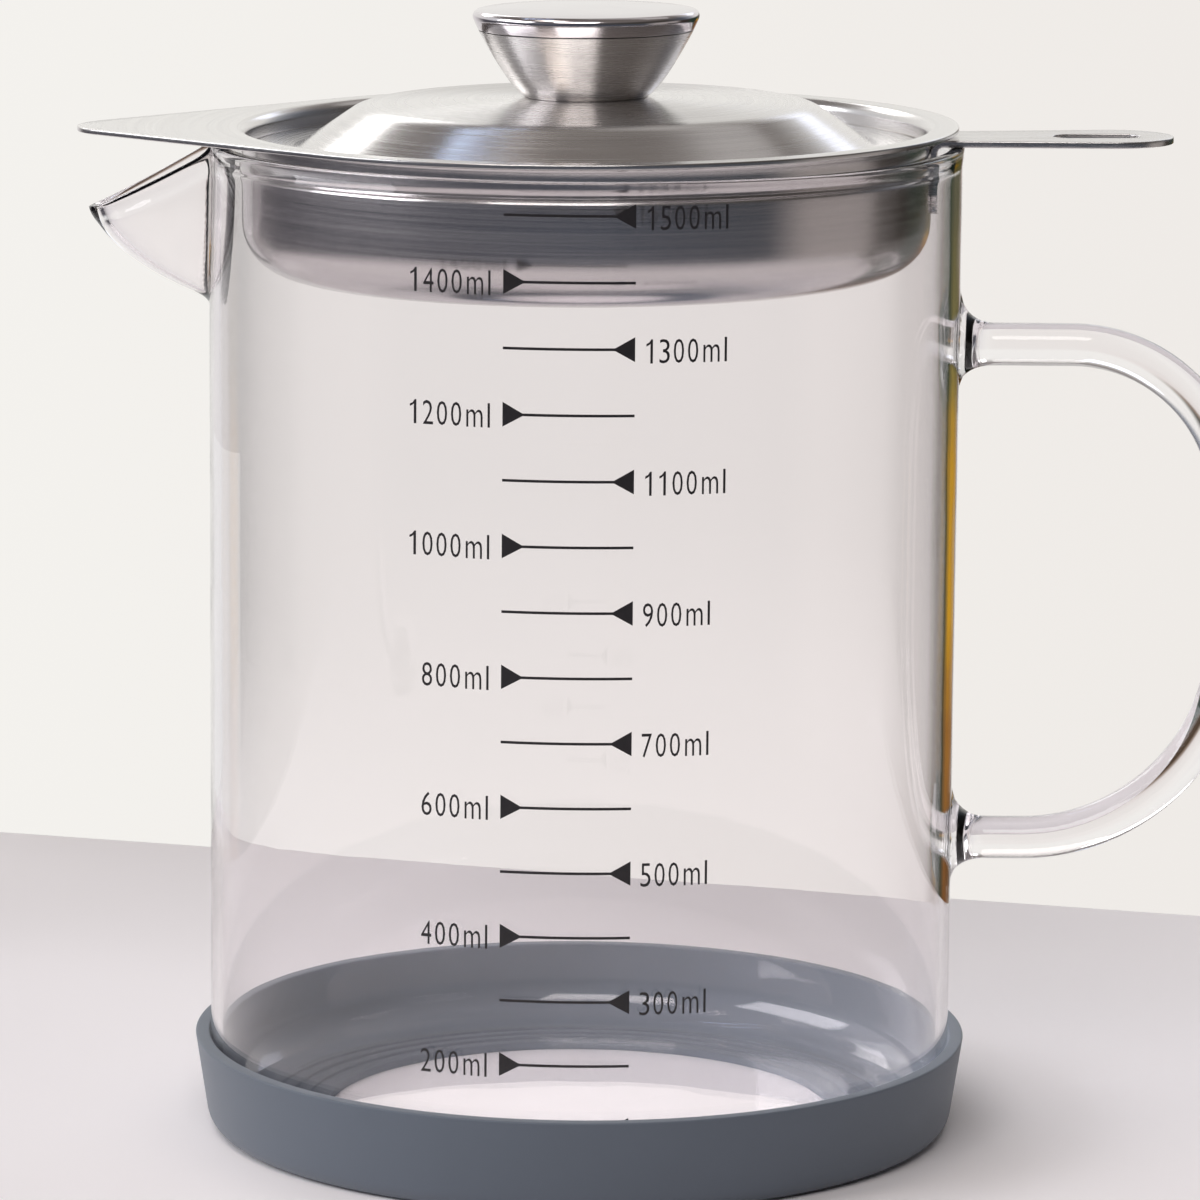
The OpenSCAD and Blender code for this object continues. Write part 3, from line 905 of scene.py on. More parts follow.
    def flare(self, bm: BMesh, edges: list[BMEdge], arm: float) -> None:
        """Spreads one end of the rod over the wall, as molten glass does.

        Args:
            bm: The handle's mesh.
            edges: The ring at the rod's end.
            arm: Height of the arm's middle line.
        """
        share, waves = self.weld_wave
        for k in range(1, self.weld_rings + 2):
            edges = self.draw_out(bm, edges, (0.0, 0.0, 0.0), 1)
            near = min(1.0, k / self.weld_rings)
            spread = 1.0 - math.sqrt(1.0 - near**2)
            off = self.weld_length * (1.0 - near) - (self.weld_sunk if k > self.weld_rings else 0.0)
            for vert in {vert for edge in edges for vert in edge.verts}:
                side, rise = vert.co.y / MM, vert.co.z / MM - arm
                length = math.hypot(side, rise)
                lump = 1.0 + share * math.sin(waves * math.atan2(rise, side) + arm) * near
                across = (self.rod + self.weld_side * spread * lump) * side / length
                grow = self.weld_up if rise > 0.0 else self.weld_down
                up = (self.rod + grow * spread * lump) * rise / length
                bow = math.sqrt(self.radius**2 - across**2)
                vert.co = Vector(((bow + off) * MM, across * MM, (arm + up) * MM))

    def build(self, glass: Material) -> None:
        """Makes and dresses the jug with its handle."""
        bm = self.draw_skin()
        mark = bm.verts.layers.int.new("rim")
        for edge in bm.edges:
            if edge.is_boundary:
                for vert in edge.verts:
                    vert[mark] = 1
        thicken(bm, self.wall)
        self.round_rim(bm)
        self.sink_dimples(bm)
        jug = make_object(bm, "jug_glass", sharp=180.0)
        handle = make_object(self.draw_handle(), "jug_handle_blank")
        cut_or_join(jug, handle, "UNION")
        settle(jug, "jug", glass, ["glass_body", "glass_handle"])


@dataclass(frozen=True)
class Glyph:
    """A character's place in its cell and the step to the next cell, in millimetres."""

    left: float
    width: float
    height: float
    advance: float


@dataclass
class PrintedScale:
    """The marks, which are CAD, and the numerals beside them.

    The numerals of even hundreds end at left, and those of odd hundreds begin at right.
    """

    zero: float = 3.49
    step: float = 9.8663
    top: int = 1500
    left: float = -13.9
    right: float = 8.65
    rise: float = -0.3
    ink: float = 0.06
    gap: float = 0.02
    radius: float = 58.5
    thinning: float = -0.006
    figure: Glyph = Glyph(0.29, 1.52, 3.6, 2.1)
    boxes: dict[str, Glyph] = field(
        default_factory=lambda: {
            "1": Glyph(0.45, 0.96, 3.6, 2.1),
            "m": Glyph(0.48, 2.41, 2.62, 3.35),
            "l": Glyph(0.28, 0.34, 3.65, 0.9),
        }
    )
    # The built-in type has a plain bar for a one, so the printed one with its flag is drawn here
    figure_one: tuple[tuple[float, float], ...] = (
        (0.58, 0.0), (0.94, 0.0), (0.94, 3.55), (0.70, 3.55), (0.42, 3.10),
        (0.0, 2.85), (0.0, 2.5), (0.35, 2.68), (0.58, 2.9),
    )

    def draw_glyph(self, character: str, box: Glyph) -> Mesh:
        """One flat character, stretched to its box.

        Args:
            character: A figure or a letter.
            box: Its place and size.

        Returns:
            Its mesh in millimetres, with its cell's lower left corner at the origin.
        """
        if character == "1":
            bm = bmesh.new()
            bm.faces.new([bm.verts.new((x, y, 0.0)) for x, y in self.figure_one])
        else:
            curve = bpy.data.curves.new("glyph", "FONT")
            curve.body = character
            curve.resolution_u = 3
            curve.offset = self.thinning
            letter = bpy.data.objects.new("glyph", curve)
            bpy.context.scene.collection.objects.link(letter)
            graph = bpy.context.evaluated_depsgraph_get()
            outline = bpy.data.meshes.new_from_object(letter.evaluated_get(graph))
            bm = bmesh.new()
            bm.from_mesh(outline)
            bpy.data.meshes.remove(outline)
            bpy.data.objects.remove(letter)
            bpy.data.curves.remove(curve)
            bmesh.ops.remove_doubles(bm, verts=bm.verts[:], dist=1e-5)
        low_x, high_x = (pick(vert.co.x for vert in bm.verts) for pick in (min, max))
        low_y, high_y = (pick(vert.co.y for vert in bm.verts) for pick in (min, max))
        stretch = (box.width / (high_x - low_x), box.height / (high_y - low_y), 1.0, 1.0)
        corner = Matrix.Translation((-low_x, -low_y, 0.0))
        place = Matrix.Translation((box.left, 0.0, 0.0))
        bmesh.ops.transform(bm, matrix=place @ Matrix.Diagonal(stretch) @ corner, verts=bm.verts[:])
        mesh = bpy.data.meshes.new("glyph")
        bm.to_mesh(mesh)
        bm.free()
        return mesh

    def draw_label(self, bm: BMesh, ml: int, glyphs: dict[str, Mesh]) -> None:
        """Writes one numeral with its unit onto the glass.

        Args:
            bm: The mesh that takes it.
            ml: The volume that it names.
            glyphs: The flat characters.
        """
        text = f"{ml}ml"
        boxes = [self.boxes.get(character, self.figure) for character in text]
        x = self.right
        if ml % 200 == 0:
            last = boxes[-1]
            x = self.left - sum(box.advance for box in boxes[:-1]) - last.left - last.width
        low = self.zero + self.step * ml / 100.0 + self.rise - self.figure.height / 2.0
        for character, box in zip(text, boxes):
            count = len(bm.verts)
            bm.from_mesh(glyphs[character])
            bm.verts.ensure_lookup_table()
            for vert in bm.verts[count:]:
                across, z = vert.co.x + x, vert.co.y + low
                depth = math.sqrt((self.radius + self.gap) ** 2 - across**2)
                vert.co = Vector((across, -depth, z)) * MM
            x += box.advance

    def build(self, ink: Material) -> None:
        """Makes the numerals and dresses the marks."""
        glyphs = {
            character: self.draw_glyph(character, self.boxes.get(character, self.figure))
            for character in "0123456789ml"
        }
        whole = bmesh.new()
        for ml in range(100, self.top + 1, 100):
            self.draw_label(whole, ml, glyphs)
        for mesh in glyphs.values():
            bpy.data.meshes.remove(mesh)
        bmesh.ops.recalc_face_normals(whole, faces=whole.faces[:])
        whole.normal_update()
        inward = [face for face in whole.faces if face.normal.y > 0.0]
        bmesh.ops.reverse_faces(whole, faces=inward)
        bmesh.ops.solidify(whole, geom=whole.faces[:], thickness=-self.ink * MM)
        bmesh.ops.recalc_face_normals(whole, faces=whole.faces[:])
        settle(make_object(whole, "scale_numerals", sharp=30.0), "jug", ink)
        dress_node("scale_marks", ink)


@dataclass
class Strainer:
    """The pan with its flange and beak, the mesh in its floor and its handle."""

    seat: Seat = field(default_factory=Seat)
    sheet: float = 0.8
    flange: float = 57.8
    wall_in: float = 52.7
    flange_bend: float = 1.8
    depth: float = 22.5
    corner: float = 8.0
    bead_z: float = -3.85
    bead: float = 1.2
    bead_bends: tuple[float, float] = (0.6, 0.9)
    ring: float = 2.5
    beak: float = 79.0
    beak_tip: float = 10.0
    beak_sector: float = 100.0
    # Steps round the plain part and round the beak, and longest edge across the flange
    steps: tuple[int, int] = (208, 200)
    grid: float = 0.6
    pip: float = 3.0
    pip_height: float = 1.1
    pip_taper: float = 0.86
    pip_place: tuple[float, float] = (-55.94, 13.95)
    mesh_radius: float = 45.2
    wire: float = 0.22
    # The real weave has a wire each 0.5 mm. It is drawn coarser to keep its wires few.
    weave: float = 1.3
    mesh_lift: float = 0.2
    clamp: tuple[float, float] = (43.0, 45.3)
    clamp_height: float = 0.7
    clamp_lift: float = 0.4
    clamp_edges: tuple[float, float] = (0.1, 0.3)
    tab: float = 1.0
    tab_z: float = -2.9
    tab_neck: float = 15.0
    tab_end: float = 19.0
    tab_tip: float = 91.2
    tab_bend: float = 1.2
    leg: float = 13.5
    leg_round: float = 3.0
    # Steps across the bend and round the plate's end, and longest edge down the leg
    tab_steps: tuple[int, int] = (24, 40)
    tab_grid: float = 0.7
    tab_edge: float = 0.208
    slot_length: float = 13.6
    slot_width: float = 5.6
    slot_edge: float = 5.1
    join_gap: float = 0.02
    edge: float = 0.16
    slack: float = 0.01

    def flange_reach(self, turn: float) -> float:
        """Distance from the axis to the flange's edge.

        Args:
            turn: Angle from the middle of the beak, in radians.

        Returns:
            The distance in millimetres.
        """
        nose = self.beak - self.beak_tip
        side = math.acos((self.flange - self.beak_tip) / nose)
        touch = math.atan2(self.beak_tip * math.sin(side), nose + self.beak_tip * math.cos(side))
        if turn >= side:
            return self.flange
        if turn >= touch:
            return self.flange / math.cos(side - turn)
        return nose * math.cos(turn) + math.sqrt(self.beak_tip**2 - (nose * math.sin(turn)) ** 2)

    def build_basket(self, steel: Material) -> None:
        """Makes the pressed pan with its flange, beak and pips."""
        floor = self.sheet - self.depth
        root = self.wall_in + self.flange_bend
        foot, crest = self.bead_bends
        corners = [
            Corner(self.flange, 0.0),
            Corner(root, 0.0),
            Corner(self.wall_in, 0.0, self.flange_bend),
            Corner(self.wall_in, self.bead_z, foot),
            Corner(self.wall_in - self.bead, self.bead_z - self.bead, crest),
            Corner(self.wall_in, self.bead_z - 2.0 * self.bead, foot),
            Corner(self.wall_in, floor, self.corner - self.sheet),
            Corner(self.wall_in + self.sheet - self.corner - self.ring, floor),
        ]
        bm = draw_section(corners)
        outer = [e for e in bm.edges if min(v.co.x for v in e.verts) > (root - self.slack) * MM]
        split_edges(bm, outer, self.grid)
        angles = (360.0 - self.beak_sector, self.beak_sector)
        turn_wire(bm, 180.0 + self.beak_sector / 2.0, tuple(zip(angles, self.steps)))
        for vert in bm.verts:
            away = vert.co.xy.length / MM
            if away > root:
                turn = abs(math.atan2(vert.co.y, -vert.co.x))
                share = (away - root) / (self.flange - root)
                reach = root + (self.flange_reach(turn) - root) * share
                vert.co.x *= reach / away
                vert.co.y *= reach / away
        face_upwards(bm)
        thicken(bm, self.sheet)
        ease_edges(bm, self.edge)
        for side in (-1.0, 1.0):
            pip = bmesh.ops.create_cone(
                bm,
                cap_ends=True,
                segments=32,
                radius1=self.pip / 2.0 * MM * self.pip_taper,
                radius2=self.pip / 2.0 * MM,
                depth=self.pip_height * MM,
            )
            x, y = self.pip_place
            low = -self.sheet - self.pip_height / 2.0
            bmesh.ops.translate(bm, verts=pip["verts"], vec=Vector((x, side * y, low)) * MM)
        map_round(bm)
        self.seat.place(bm)
        settle(make_object(bm, "strainer_pan"), "strainer", steel, ["strainer_basket"])

    def build_mesh(self, wire_steel: Material) -> None:
        """Weaves the mesh, wire over wire, and trims it round."""
        count = int(self.mesh_radius / self.weave)
        bm = bmesh.new()
        bmesh.ops.create_circle(bm, cap_ends=True, segments=5, radius=self.wire * MM)
        turn = Matrix.Rotation(math.radians(90.0), 4, "Y")
        away = Matrix.Translation((-(count + 0.5) * self.weave * MM, 0.0, 0.0))
        bmesh.ops.transform(bm, matrix=away @ turn, verts=bm.verts[:])
        tip = bm.faces[:]
        for k in range(2 * count + 2):
            new = bmesh.ops.extrude_face_region(bm, geom=tip)["geom"]
            tip = of_kind(new, BMFace)
            rise = self.wire * (1.0 if k % 2 else -1.0) * (1.0 if k else 0.5) * 2.0
            verts = [vert for face in tip for vert in face.verts]
            step = self.weave if 0 < k < 2 * count + 1 else self.weave / 2.0
            bmesh.ops.translate(bm, verts=verts, vec=Vector((step, 0.0, rise)) * MM)
        first = bm.verts[:] + bm.edges[:] + bm.faces[:]
        flip = Matrix.Rotation(math.pi, 3, "X")
        for k in range(-count, count + 1):
            copy = bmesh.ops.duplicate(bm, geom=first)["geom"]
            verts = of_kind(copy, BMVert)
            if k % 2:
                bmesh.ops.rotate(bm, verts=verts, cent=ORIGIN, matrix=flip)
            bmesh.ops.translate(bm, verts=verts, vec=(0.0, k * self.weave * MM, 0.0))
        bmesh.ops.delete(bm, geom=of_kind(first, BMVert), context="VERTS")
        across = bmesh.ops.duplicate(bm, geom=bm.verts[:] + bm.edges[:] + bm.faces[:])["geom"]
        verts = of_kind(across, BMVert)
        quarter = Matrix.Rotation(math.radians(90.0), 3, "Z") @ Matrix.Rotation(math.pi, 3, "X")
        bmesh.ops.rotate(bm, verts=verts, cent=ORIGIN, matrix=quarter)
        outside = [v for v in bm.verts if v.co.xy.length > self.mesh_radius * MM]
        bmesh.ops.delete(bm, geom=outside, context="VERTS")
        bmesh.ops.holes_fill(bm, edges=[e for e in bm.edges if e.is_boundary], sides=0)
        bmesh.ops.recalc_face_normals(bm, faces=bm.faces[:])
        height = self.sheet - self.depth + self.mesh_lift
        bmesh.ops.translate(bm, verts=bm.verts[:], vec=(0.0, 0.0, height * MM))
        self.seat.place(bm)
        weave = make_object(bm, "woven_mesh", sharp=180.0)
        settle(weave, "strainer", wire_steel, ["strainer_mesh"])

    def build_clamp(self, steel: Material) -> None:
        """Makes the ring that holds the mesh down."""
        inner, outer = self.clamp
        under, over = self.clamp_edges
        low = self.sheet - self.depth + self.clamp_lift
        high = low + self.clamp_height
        corners = [
            Corner(inner, low, under),
            Corner(outer, low, under),
            Corner(outer, high, over),
            Corner(inner, high, over),
        ]
        bm = turn_section(corners, parts=3)
        map_round(bm)
        self.seat.place(bm)
        settle(make_object(bm, "mesh_clamp_ring"), "strainer", steel, ["mesh_ring"])

    def build_handle(self, steel: Material) -> None:
        """Makes the slotted handle plate with its bend and its leg on the wall."""
        outside = self.wall_in + self.sheet + self.join_gap + self.tab
        start = outside + self.tab_bend
        spread = math.asin(self.tab_neck / 2.0 / start)
        top = self.tab_z + self.tab
        corners = [
            Corner(start, top),
            Corner(outside - self.tab, top, self.tab_bend + self.tab),
            Corner(outside - self.tab, -self.leg),
        ]
        bm = draw_section(corners)
        split_edges(bm, bm.edges[:], self.tab_grid)
        turn = math.degrees(spread)
        turn_wire(bm, -turn, ((2.0 * turn, self.tab_steps[0]),))
        half = (outside - self.tab) * math.sin(spread)
        for vert in bm.verts:
            over = abs(vert.co.y) / MM - (half - self.leg_round)
            if over > 0.0 and vert.co.z / MM < -self.leg / 2.0:
                lift = self.leg_round - math.sqrt(max(0.0, self.leg_round**2 - over**2))
                share = (-vert.co.z / MM - self.leg / 2.0) / (self.leg / 2.0)
                vert.co.z += lift * share * MM
        near = (start - self.slack) * MM
        rim = [
            edge
            for edge in bm.edges
            if edge.is_boundary and all(vert.co.xy.length > near for vert in edge.verts)
        ]
        self.fill_plate(bm, rim, top)
        bmesh.ops.recalc_face_normals(bm, faces=bm.faces[:])
        face_upwards(bm)
        thicken(bm, self.tab)
        ease_edges(bm, self.tab_edge)
        self.seat.place(bm)
        settle(make_object(bm, "strainer_tab"), "strainer", steel, ["strainer_handle"])

    def fill_plate(self, bm: BMesh, rim: list[BMEdge], top: float) -> None:
        """Fills the flat plate between the bend, its own outline and the slot.

        Args:
            bm: The handle's mesh, which holds the bend and the leg.
            rim: The bend's upper edges.
            top: Height of the plate's top face.
        """
        end = self.tab_end / 2.0
        centre = self.tab_tip - end
        ends = sorted((vert for edge in rim for vert in edge.verts), key=lambda vert: vert.co.y)
        line = [ends[0]]
        steps = self.tab_steps[1]
        for k in range(steps + 1):
            turn = math.pi * (k / steps - 0.5)
            spot = Vector((centre + end * math.cos(turn), end * math.sin(turn), top))
            line.append(bm.verts.new(spot * MM))
        line.append(ends[-1])
        outline = [bm.edges.new(pair) for pair in zip(line, line[1:])]
        half = self.slot_width / 2.0
        far = self.tab_tip - self.slot_edge - half
        near = far - self.slot_length + self.slot_width
        hole = bmesh.ops.create_circle(bm, cap_ends=False, segments=48, radius=half * MM)["verts"]
        for vert in hole:
            middle = far if vert.co.x > -MERGE else near
            vert.co += Vector((middle, 0.0, top)) * MM
        slot = list({edge for vert in hole for edge in vert.link_edges})
        bmesh.ops.triangle_fill(bm, edges=rim + outline + slot, use_beauty=True)

    def build(self, pan_steel: Material, plate_steel: Material, wire_steel: Material) -> None:
        """Makes all the strainer's pieces."""
        self.build_basket(pan_steel)
        self.build_mesh(wire_steel)
        self.build_clamp(pan_steel)
        self.build_handle(plate_steel)


@dataclass
class Lid:
    """The loose lid with its knob, and the knob's screw, washer and insert."""

    seat: Seat = field(default_factory=Seat)
    sheet: float = 0.7
    brim: float = 52.4
    sink: float = -3.3
    cone_foot: float = 45.05
    cone_head: float = 35.25
    cone_top: float = 3.3
    land: float = 10.5
    top: float = 4.38
    hole: float = 2.2
    foot_bend: float = 2.5
    head_bend: float = 5.0
    land_bend: float = 3.0
    grid: float = 2.0
    knob_foot: float = 9.5
    knob_top: float = 18.05
    knob_height: float = 12.95
    knob_curve: float = 0.76
    knob_wall: float = 1.0
    knob_edge: float = 0.25
    knob_steps: int = 12
    band: float = 2.5
    seam: float = 0.1
    crown: float = 0.5
    # Where the crown bends over: share of the knob's radius, crowns over its edge, bend
    shoulder: tuple[float, float, float] = (0.6, 1.7, 60.0)
    cap_over: float = 0.1
    cap_bend: float = 1.1
    skirt: float = 2.0
    skirt_gap: float = 0.05
    washer: tuple[float, float] = (6.0, 0.8)
    screw_shank: float = 2.0
    screw_head: tuple[float, float] = (3.6, 2.2)
    screw_grip: float = 5.0
    recess: tuple[float, float, float] = (3.6, 0.9, 1.3)
    # Roundings of the fixings' corners, of the screw's head and of its tip
    fixing_edge: float = 0.1
    screw_dome: float = 1.1
    screw_point: float = 0.3
    edge: float = 0.14

    def knob_radius(self, height: float) -> float:
        """Radius of the knob's outside at a height over its foot."""
        share = height / self.knob_height
        return self.knob_foot + (self.knob_top - self.knob_foot) * share**self.knob_curve

    def build_shell(self, steel: Material) -> None:
        """Makes the pressed lid."""
        corners = [
            Corner(self.brim, self.sink),
            Corner(self.cone_foot, self.sink, self.foot_bend),
            Corner(self.cone_head, self.cone_top, self.head_bend),
            Corner(self.land, self.top, self.land_bend),
            Corner(self.hole, self.top),
        ]
        bm = draw_section(corners, parts=10)
        split_edges(bm, bm.edges[:], self.grid)
        turn_wire(bm, 0.0, ((360.0, 288),))
        face_upwards(bm)
        thicken(bm, self.sheet)
        ease_edges(bm, self.edge)
        map_round(bm)
        self.seat.place(bm)
        settle(make_object(bm, "lid_sheet"), "lid", steel, ["lid_shell"])

    def build_knob(self, brushed: Material, polished: Material) -> None:
        """Makes the knob's brushed body and its polished cap."""
        split = self.knob_height - self.band
        steps = self.knob_steps
        rise = [k / steps * (split - self.seam) for k in range(steps + 1)]
        side = [Corner(self.knob_radius(h), self.top + h) for h in rise]
        side[0] = Corner(self.knob_foot, self.top, self.knob_edge)
        inner = [
            Corner(self.knob_radius(h) - self.knob_wall, self.top + h)
            for h in reversed(rise)
            if h > self.knob_wall
        ]
        last = Corner(self.knob_radius(self.knob_wall) - self.knob_wall, self.top + self.knob_wall)
        closing = [last, Corner(self.hole, self.top + self.knob_wall)]
        bm = turn_section([Corner(self.hole, self.top), *side, *inner, *closing])
        map_round(bm)
        self.seat.place(bm)
        settle(make_object(bm, "knob_stem"), "lid", brushed, ["knob_body"])
        sleeve = self.knob_radius(split - self.skirt) - self.knob_wall - self.skirt_gap
        share, over, bend = self.shoulder
        head, seam = self.top + self.knob_height, self.top + split
        corners = [
            Corner(0.0, head + 2.0 * self.crown),
            Corner(self.knob_top * share, head + over * self.crown, bend),
            Corner(self.knob_top + self.cap_over, head + self.crown, self.cap_bend),
            Corner(self.knob_radius(split), seam, self.knob_edge),
            Corner(sleeve, seam),
            Corner(sleeve, seam - self.skirt),
            Corner(sleeve - self.knob_wall, seam - self.skirt),
            Corner(sleeve - self.knob_wall, head - self.knob_wall),
            Corner(0.0, head - self.knob_wall),
        ]
        bm = turn_section(corners, closed=False)
        self.seat.place(bm)
        settle(make_object(bm, "knob_top"), "lid", polished, ["knob_cap"])

    def build_fixings(self, steel: Material) -> None:
        """Makes the screw with its cross recess and the washer, and dresses the insert."""
        radius, thick = self.washer
        under = self.top - self.sheet
        corners = [
            Corner(self.hole, under, self.fixing_edge),
            Corner(radius, under, self.fixing_edge),
            Corner(radius, under - thick, self.knob_edge),
            Corner(self.hole, under - thick, self.fixing_edge),
        ]
        bm = turn_section(corners, steps=96, parts=3)
        self.seat.place(bm)
        settle(make_object(bm, "washer"), "lid", steel, ["knob_washer"])
        head, head_height = self.screw_head
        seat = under - thick
        tip = self.top + self.knob_wall + self.screw_grip
        corners = [
            Corner(0.0, seat - head_height),
            Corner(head, seat - head_height, self.screw_dome),
            Corner(head, seat, self.fixing_edge),
            Corner(self.screw_shank, seat),
            Corner(self.screw_shank, tip, self.screw_point),
            Corner(0.0, tip),
        ]
        bm = turn_section(corners, steps=96, closed=False, parts=6)
        self.seat.place(bm)
        screw = make_object(bm, "screw")
        length, width, deep = self.recess
        middle = (0.0, 0.0, seat - head_height)
        for turn in (0.0, 90.0):
            bm = draw_block((length, width, 2.0 * deep), middle, math.radians(turn))
            self.seat.place(bm)
            cut_or_join(screw, make_object(bm, "recess"), "DIFFERENCE")
        screw.data.set_sharp_from_angle(angle=math.radians(40.0))
        settle(screw, "lid", steel, ["knob_screw"])
        dress_node("knob_insert", steel)

    def build(self, brushed: Material, polished: Material, fixing_steel: Material) -> None:
        """Makes all the lid's pieces."""
        self.build_shell(brushed)
        self.build_knob(brushed, polished)
        self.build_fixings(fixing_steel)


# The studio


@dataclass(frozen=True)
class Softbox:
    """A soft lamp, hung at a compass angle, an elevation and a distance in metres.

    Its glow is the brightness that a mirror would show, where 1 is white.
    """

    name: str
    compass: float
    elevation: float
    distance: float
    size: tuple[float, float]
    glow: float
    colour: str

    def place(self) -> Vector:
        """Where it hangs, in metres."""
        turn, rise = math.radians(self.compass), math.radians(self.elevation)
        way = (math.sin(turn) * math.cos(rise), math.cos(turn) * math.cos(rise), math.sin(rise))
        return Vector(way) * self.distance


@dataclass
class Studio:
    """A pale table and wall, soft lamps and the camera."""

    # Colours round the room by compass angle, 0 behind the pot and 90 to its right
    low_ring: Stops = (
        (-180.0, "#4C525D"), (-52.0, "#4E4C52"), (-38.0, "#C9C6C6"), (-28.0, "#E4E1E2"),
        (-6.0, "#F4F2EE"), (5.6, "#EFEBE7"), (10.9, "#E4DDD9"), (11.7, "#9C8E84"),
        (13.5, "#8C7A6C"), (26.0, "#54503A"), (28.0, "#2F3D34"), (45.0, "#2F3D34"),
        (52.0, "#3C3632"), (67.0, "#3C3632"), (76.0, "#A8A29F"), (104.0, "#A8A29F"),
        (118.0, "#4C5056"), (180.0, "#4C525D"),
    )
    high_ring: Stops = (
        (-180.0, "#4A4B50"), (-120.0, "#77787E"), (-75.0, "#D0D2D6"), (-40.0, "#F3F2EF"),
        (-5.0, "#F5F4F0"), (32.0, "#F2F0EC"), (46.0, "#9A9EA6"), (60.0, "#5C6068"),
        (90.0, "#4A4642"), (130.0, "#45433F"), (180.0, "#4A4B50"),
    )
    ceiling: str = "#76706C"
    # Sines of the elevations between which one of those gives way to the next
    low_to_high: tuple[float, float] = (-0.03, 0.08)
    high_to_ceiling: tuple[float, float] = (0.35, 0.7)
    # The wall that the camera sees, also from other sides
    backdrop: Stops = (
        (-180.0, "#F1EEEA"), (-6.0, "#F4F2EE"), (5.6, "#EFEBE7"), (180.0, "#F1EEEA"),
    )
    # Compass angles between which glass begins to show that wall too, as seen from behind
    wall_turn: tuple[float, float] = (62.0, 82.0)
    # A curtain behind the pot's right side, out of the picture, from its foot to the horizon.
    # The glass's edge bends it into view as a warm strip.
    curtain: Stops = (
        (-0.26, "#4E3D2E"), (-0.22, "#7A5230"), (-0.195, "#9A6A34"), (-0.178, "#C8962C"),
        (-0.155, "#C0912E"), (-0.14, "#7E7444"), (-0.115, "#5E5B48"), (-0.05, "#5A5850"),
    )
    # Compass angles at which it begins, is full, is full for the last time and ends
    curtain_span: tuple[float, float, float, float] = (13.5, 15.5, 25.0, 27.0)
    table_colour: str = "#F9F5F7"
    table_gloss: float = 0.25
    table_roughness: float = 0.85
    # Grains of its surface in a metre
    table_grain: float = 900.0
    table_edge: tuple[tuple[float, float], tuple[float, float]] = ((-111.2, 212.0), (112.7, 147.6))
    table_size: tuple[float, float, float] = (2400.0, 1600.0, 30.0)
    # Distances from the pot between which the table fades out of what metal and glass mirror
    table_fade: tuple[float, float] = (230.0, 560.0)
    camera_place: tuple[float, float, float] = (0.0, -1009.26, 264.22)
    pitch: float = 0.1768
    roll: float = 0.0081
    yaw: float = 0.0027
    focal_pixels: float = 6519.5
    picture: float = 1200.0
    sensor: float = 36.0
    card_place: tuple[float, float] = (-185.0, 170.0)
    card_size: tuple[float, float, float] = (125.0, 5.0, 75.0)
    card_glow: float = 0.95
    lamps: tuple[Softbox, ...] = (
        Softbox("key", -120.0, 65.0, 1.5, (0.42, 0.5), 3.5, "#FFF6EE"),
        Softbox("fill", -168.0, 45.0, 3.6, (2.4, 1.2), 4.9, "#FFFCFA"),
        Softbox("window_side", -98.0, 25.0, 5.1, (3.6, 2.1), 4.8, "#FAFBFF"),
        Softbox("window_left", -26.0, 33.0, 1.6, (0.9, 0.28), 2.6, "#FFFFFF"),
        Softbox("slit_left", -35.0, 61.0, 1.5, (0.5, 0.05), 5.0, "#C8DCFF"),
        Softbox("window_right", 22.4, 27.4, 1.6, (0.6, 0.24), 0.9, "#D8E4FF"),
        Softbox("skylight_right", 37.0, 57.0, 1.6, (1.2, 0.5), 0.35, "#FFFFFF"),
    )

    def set_camera(self) -> None:
        """Sets the camera where the photograph was taken from."""
        level = Vector((math.cos(self.yaw), -math.sin(self.yaw), 0.0))
        ahead = UP.cross(level) * math.cos(self.pitch) - UP * math.sin(self.pitch)
        over = level.cross(ahead)
        right = level * math.cos(self.roll) + over * math.sin(self.roll)
        upward = over * math.cos(self.roll) - level * math.sin(self.roll)
        data = bpy.data.cameras.new("camera")
        data.sensor_width = self.sensor
        data.lens = self.sensor * self.focal_pixels / self.picture
        data.clip_start = 0.01
        camera = bpy.data.objects.new("camera", data)
        turn = Matrix((right, upward, -ahead)).transposed().to_4x4()
        camera.matrix_world = Matrix.Translation(Vector(self.camera_place) * MM) @ turn
        bpy.context.scene.collection.objects.link(camera)
        bpy.context.scene.camera = camera

    def see_straight(self, tree: NodeTree) -> NodeSocket:
        """Whether a ray comes from the camera, straight or through glass, and mirrors nothing.

        Args:
            tree: The tree that takes the nodes.

        Returns:
            A socket that holds 1 or 0.
        """
        path = add_node(tree, "LightPath").node.outputs
        depths = {0: path["Glossy Depth"], 1: path["Diffuse Depth"]}
        bounces = add_node(tree, "Math", {"operation": "ADD"}, depths)
        none = add_node(tree, "Math", {"operation": "LESS_THAN", 1: 0.5}, {0: bounces})
        either = {0: none, 1: path["Is Transmission Ray"], 2: path["Is Camera Ray"]}
        return add_node(tree, "Math", {"operation": "MULTIPLY_ADD", "use_clamp": True}, either)

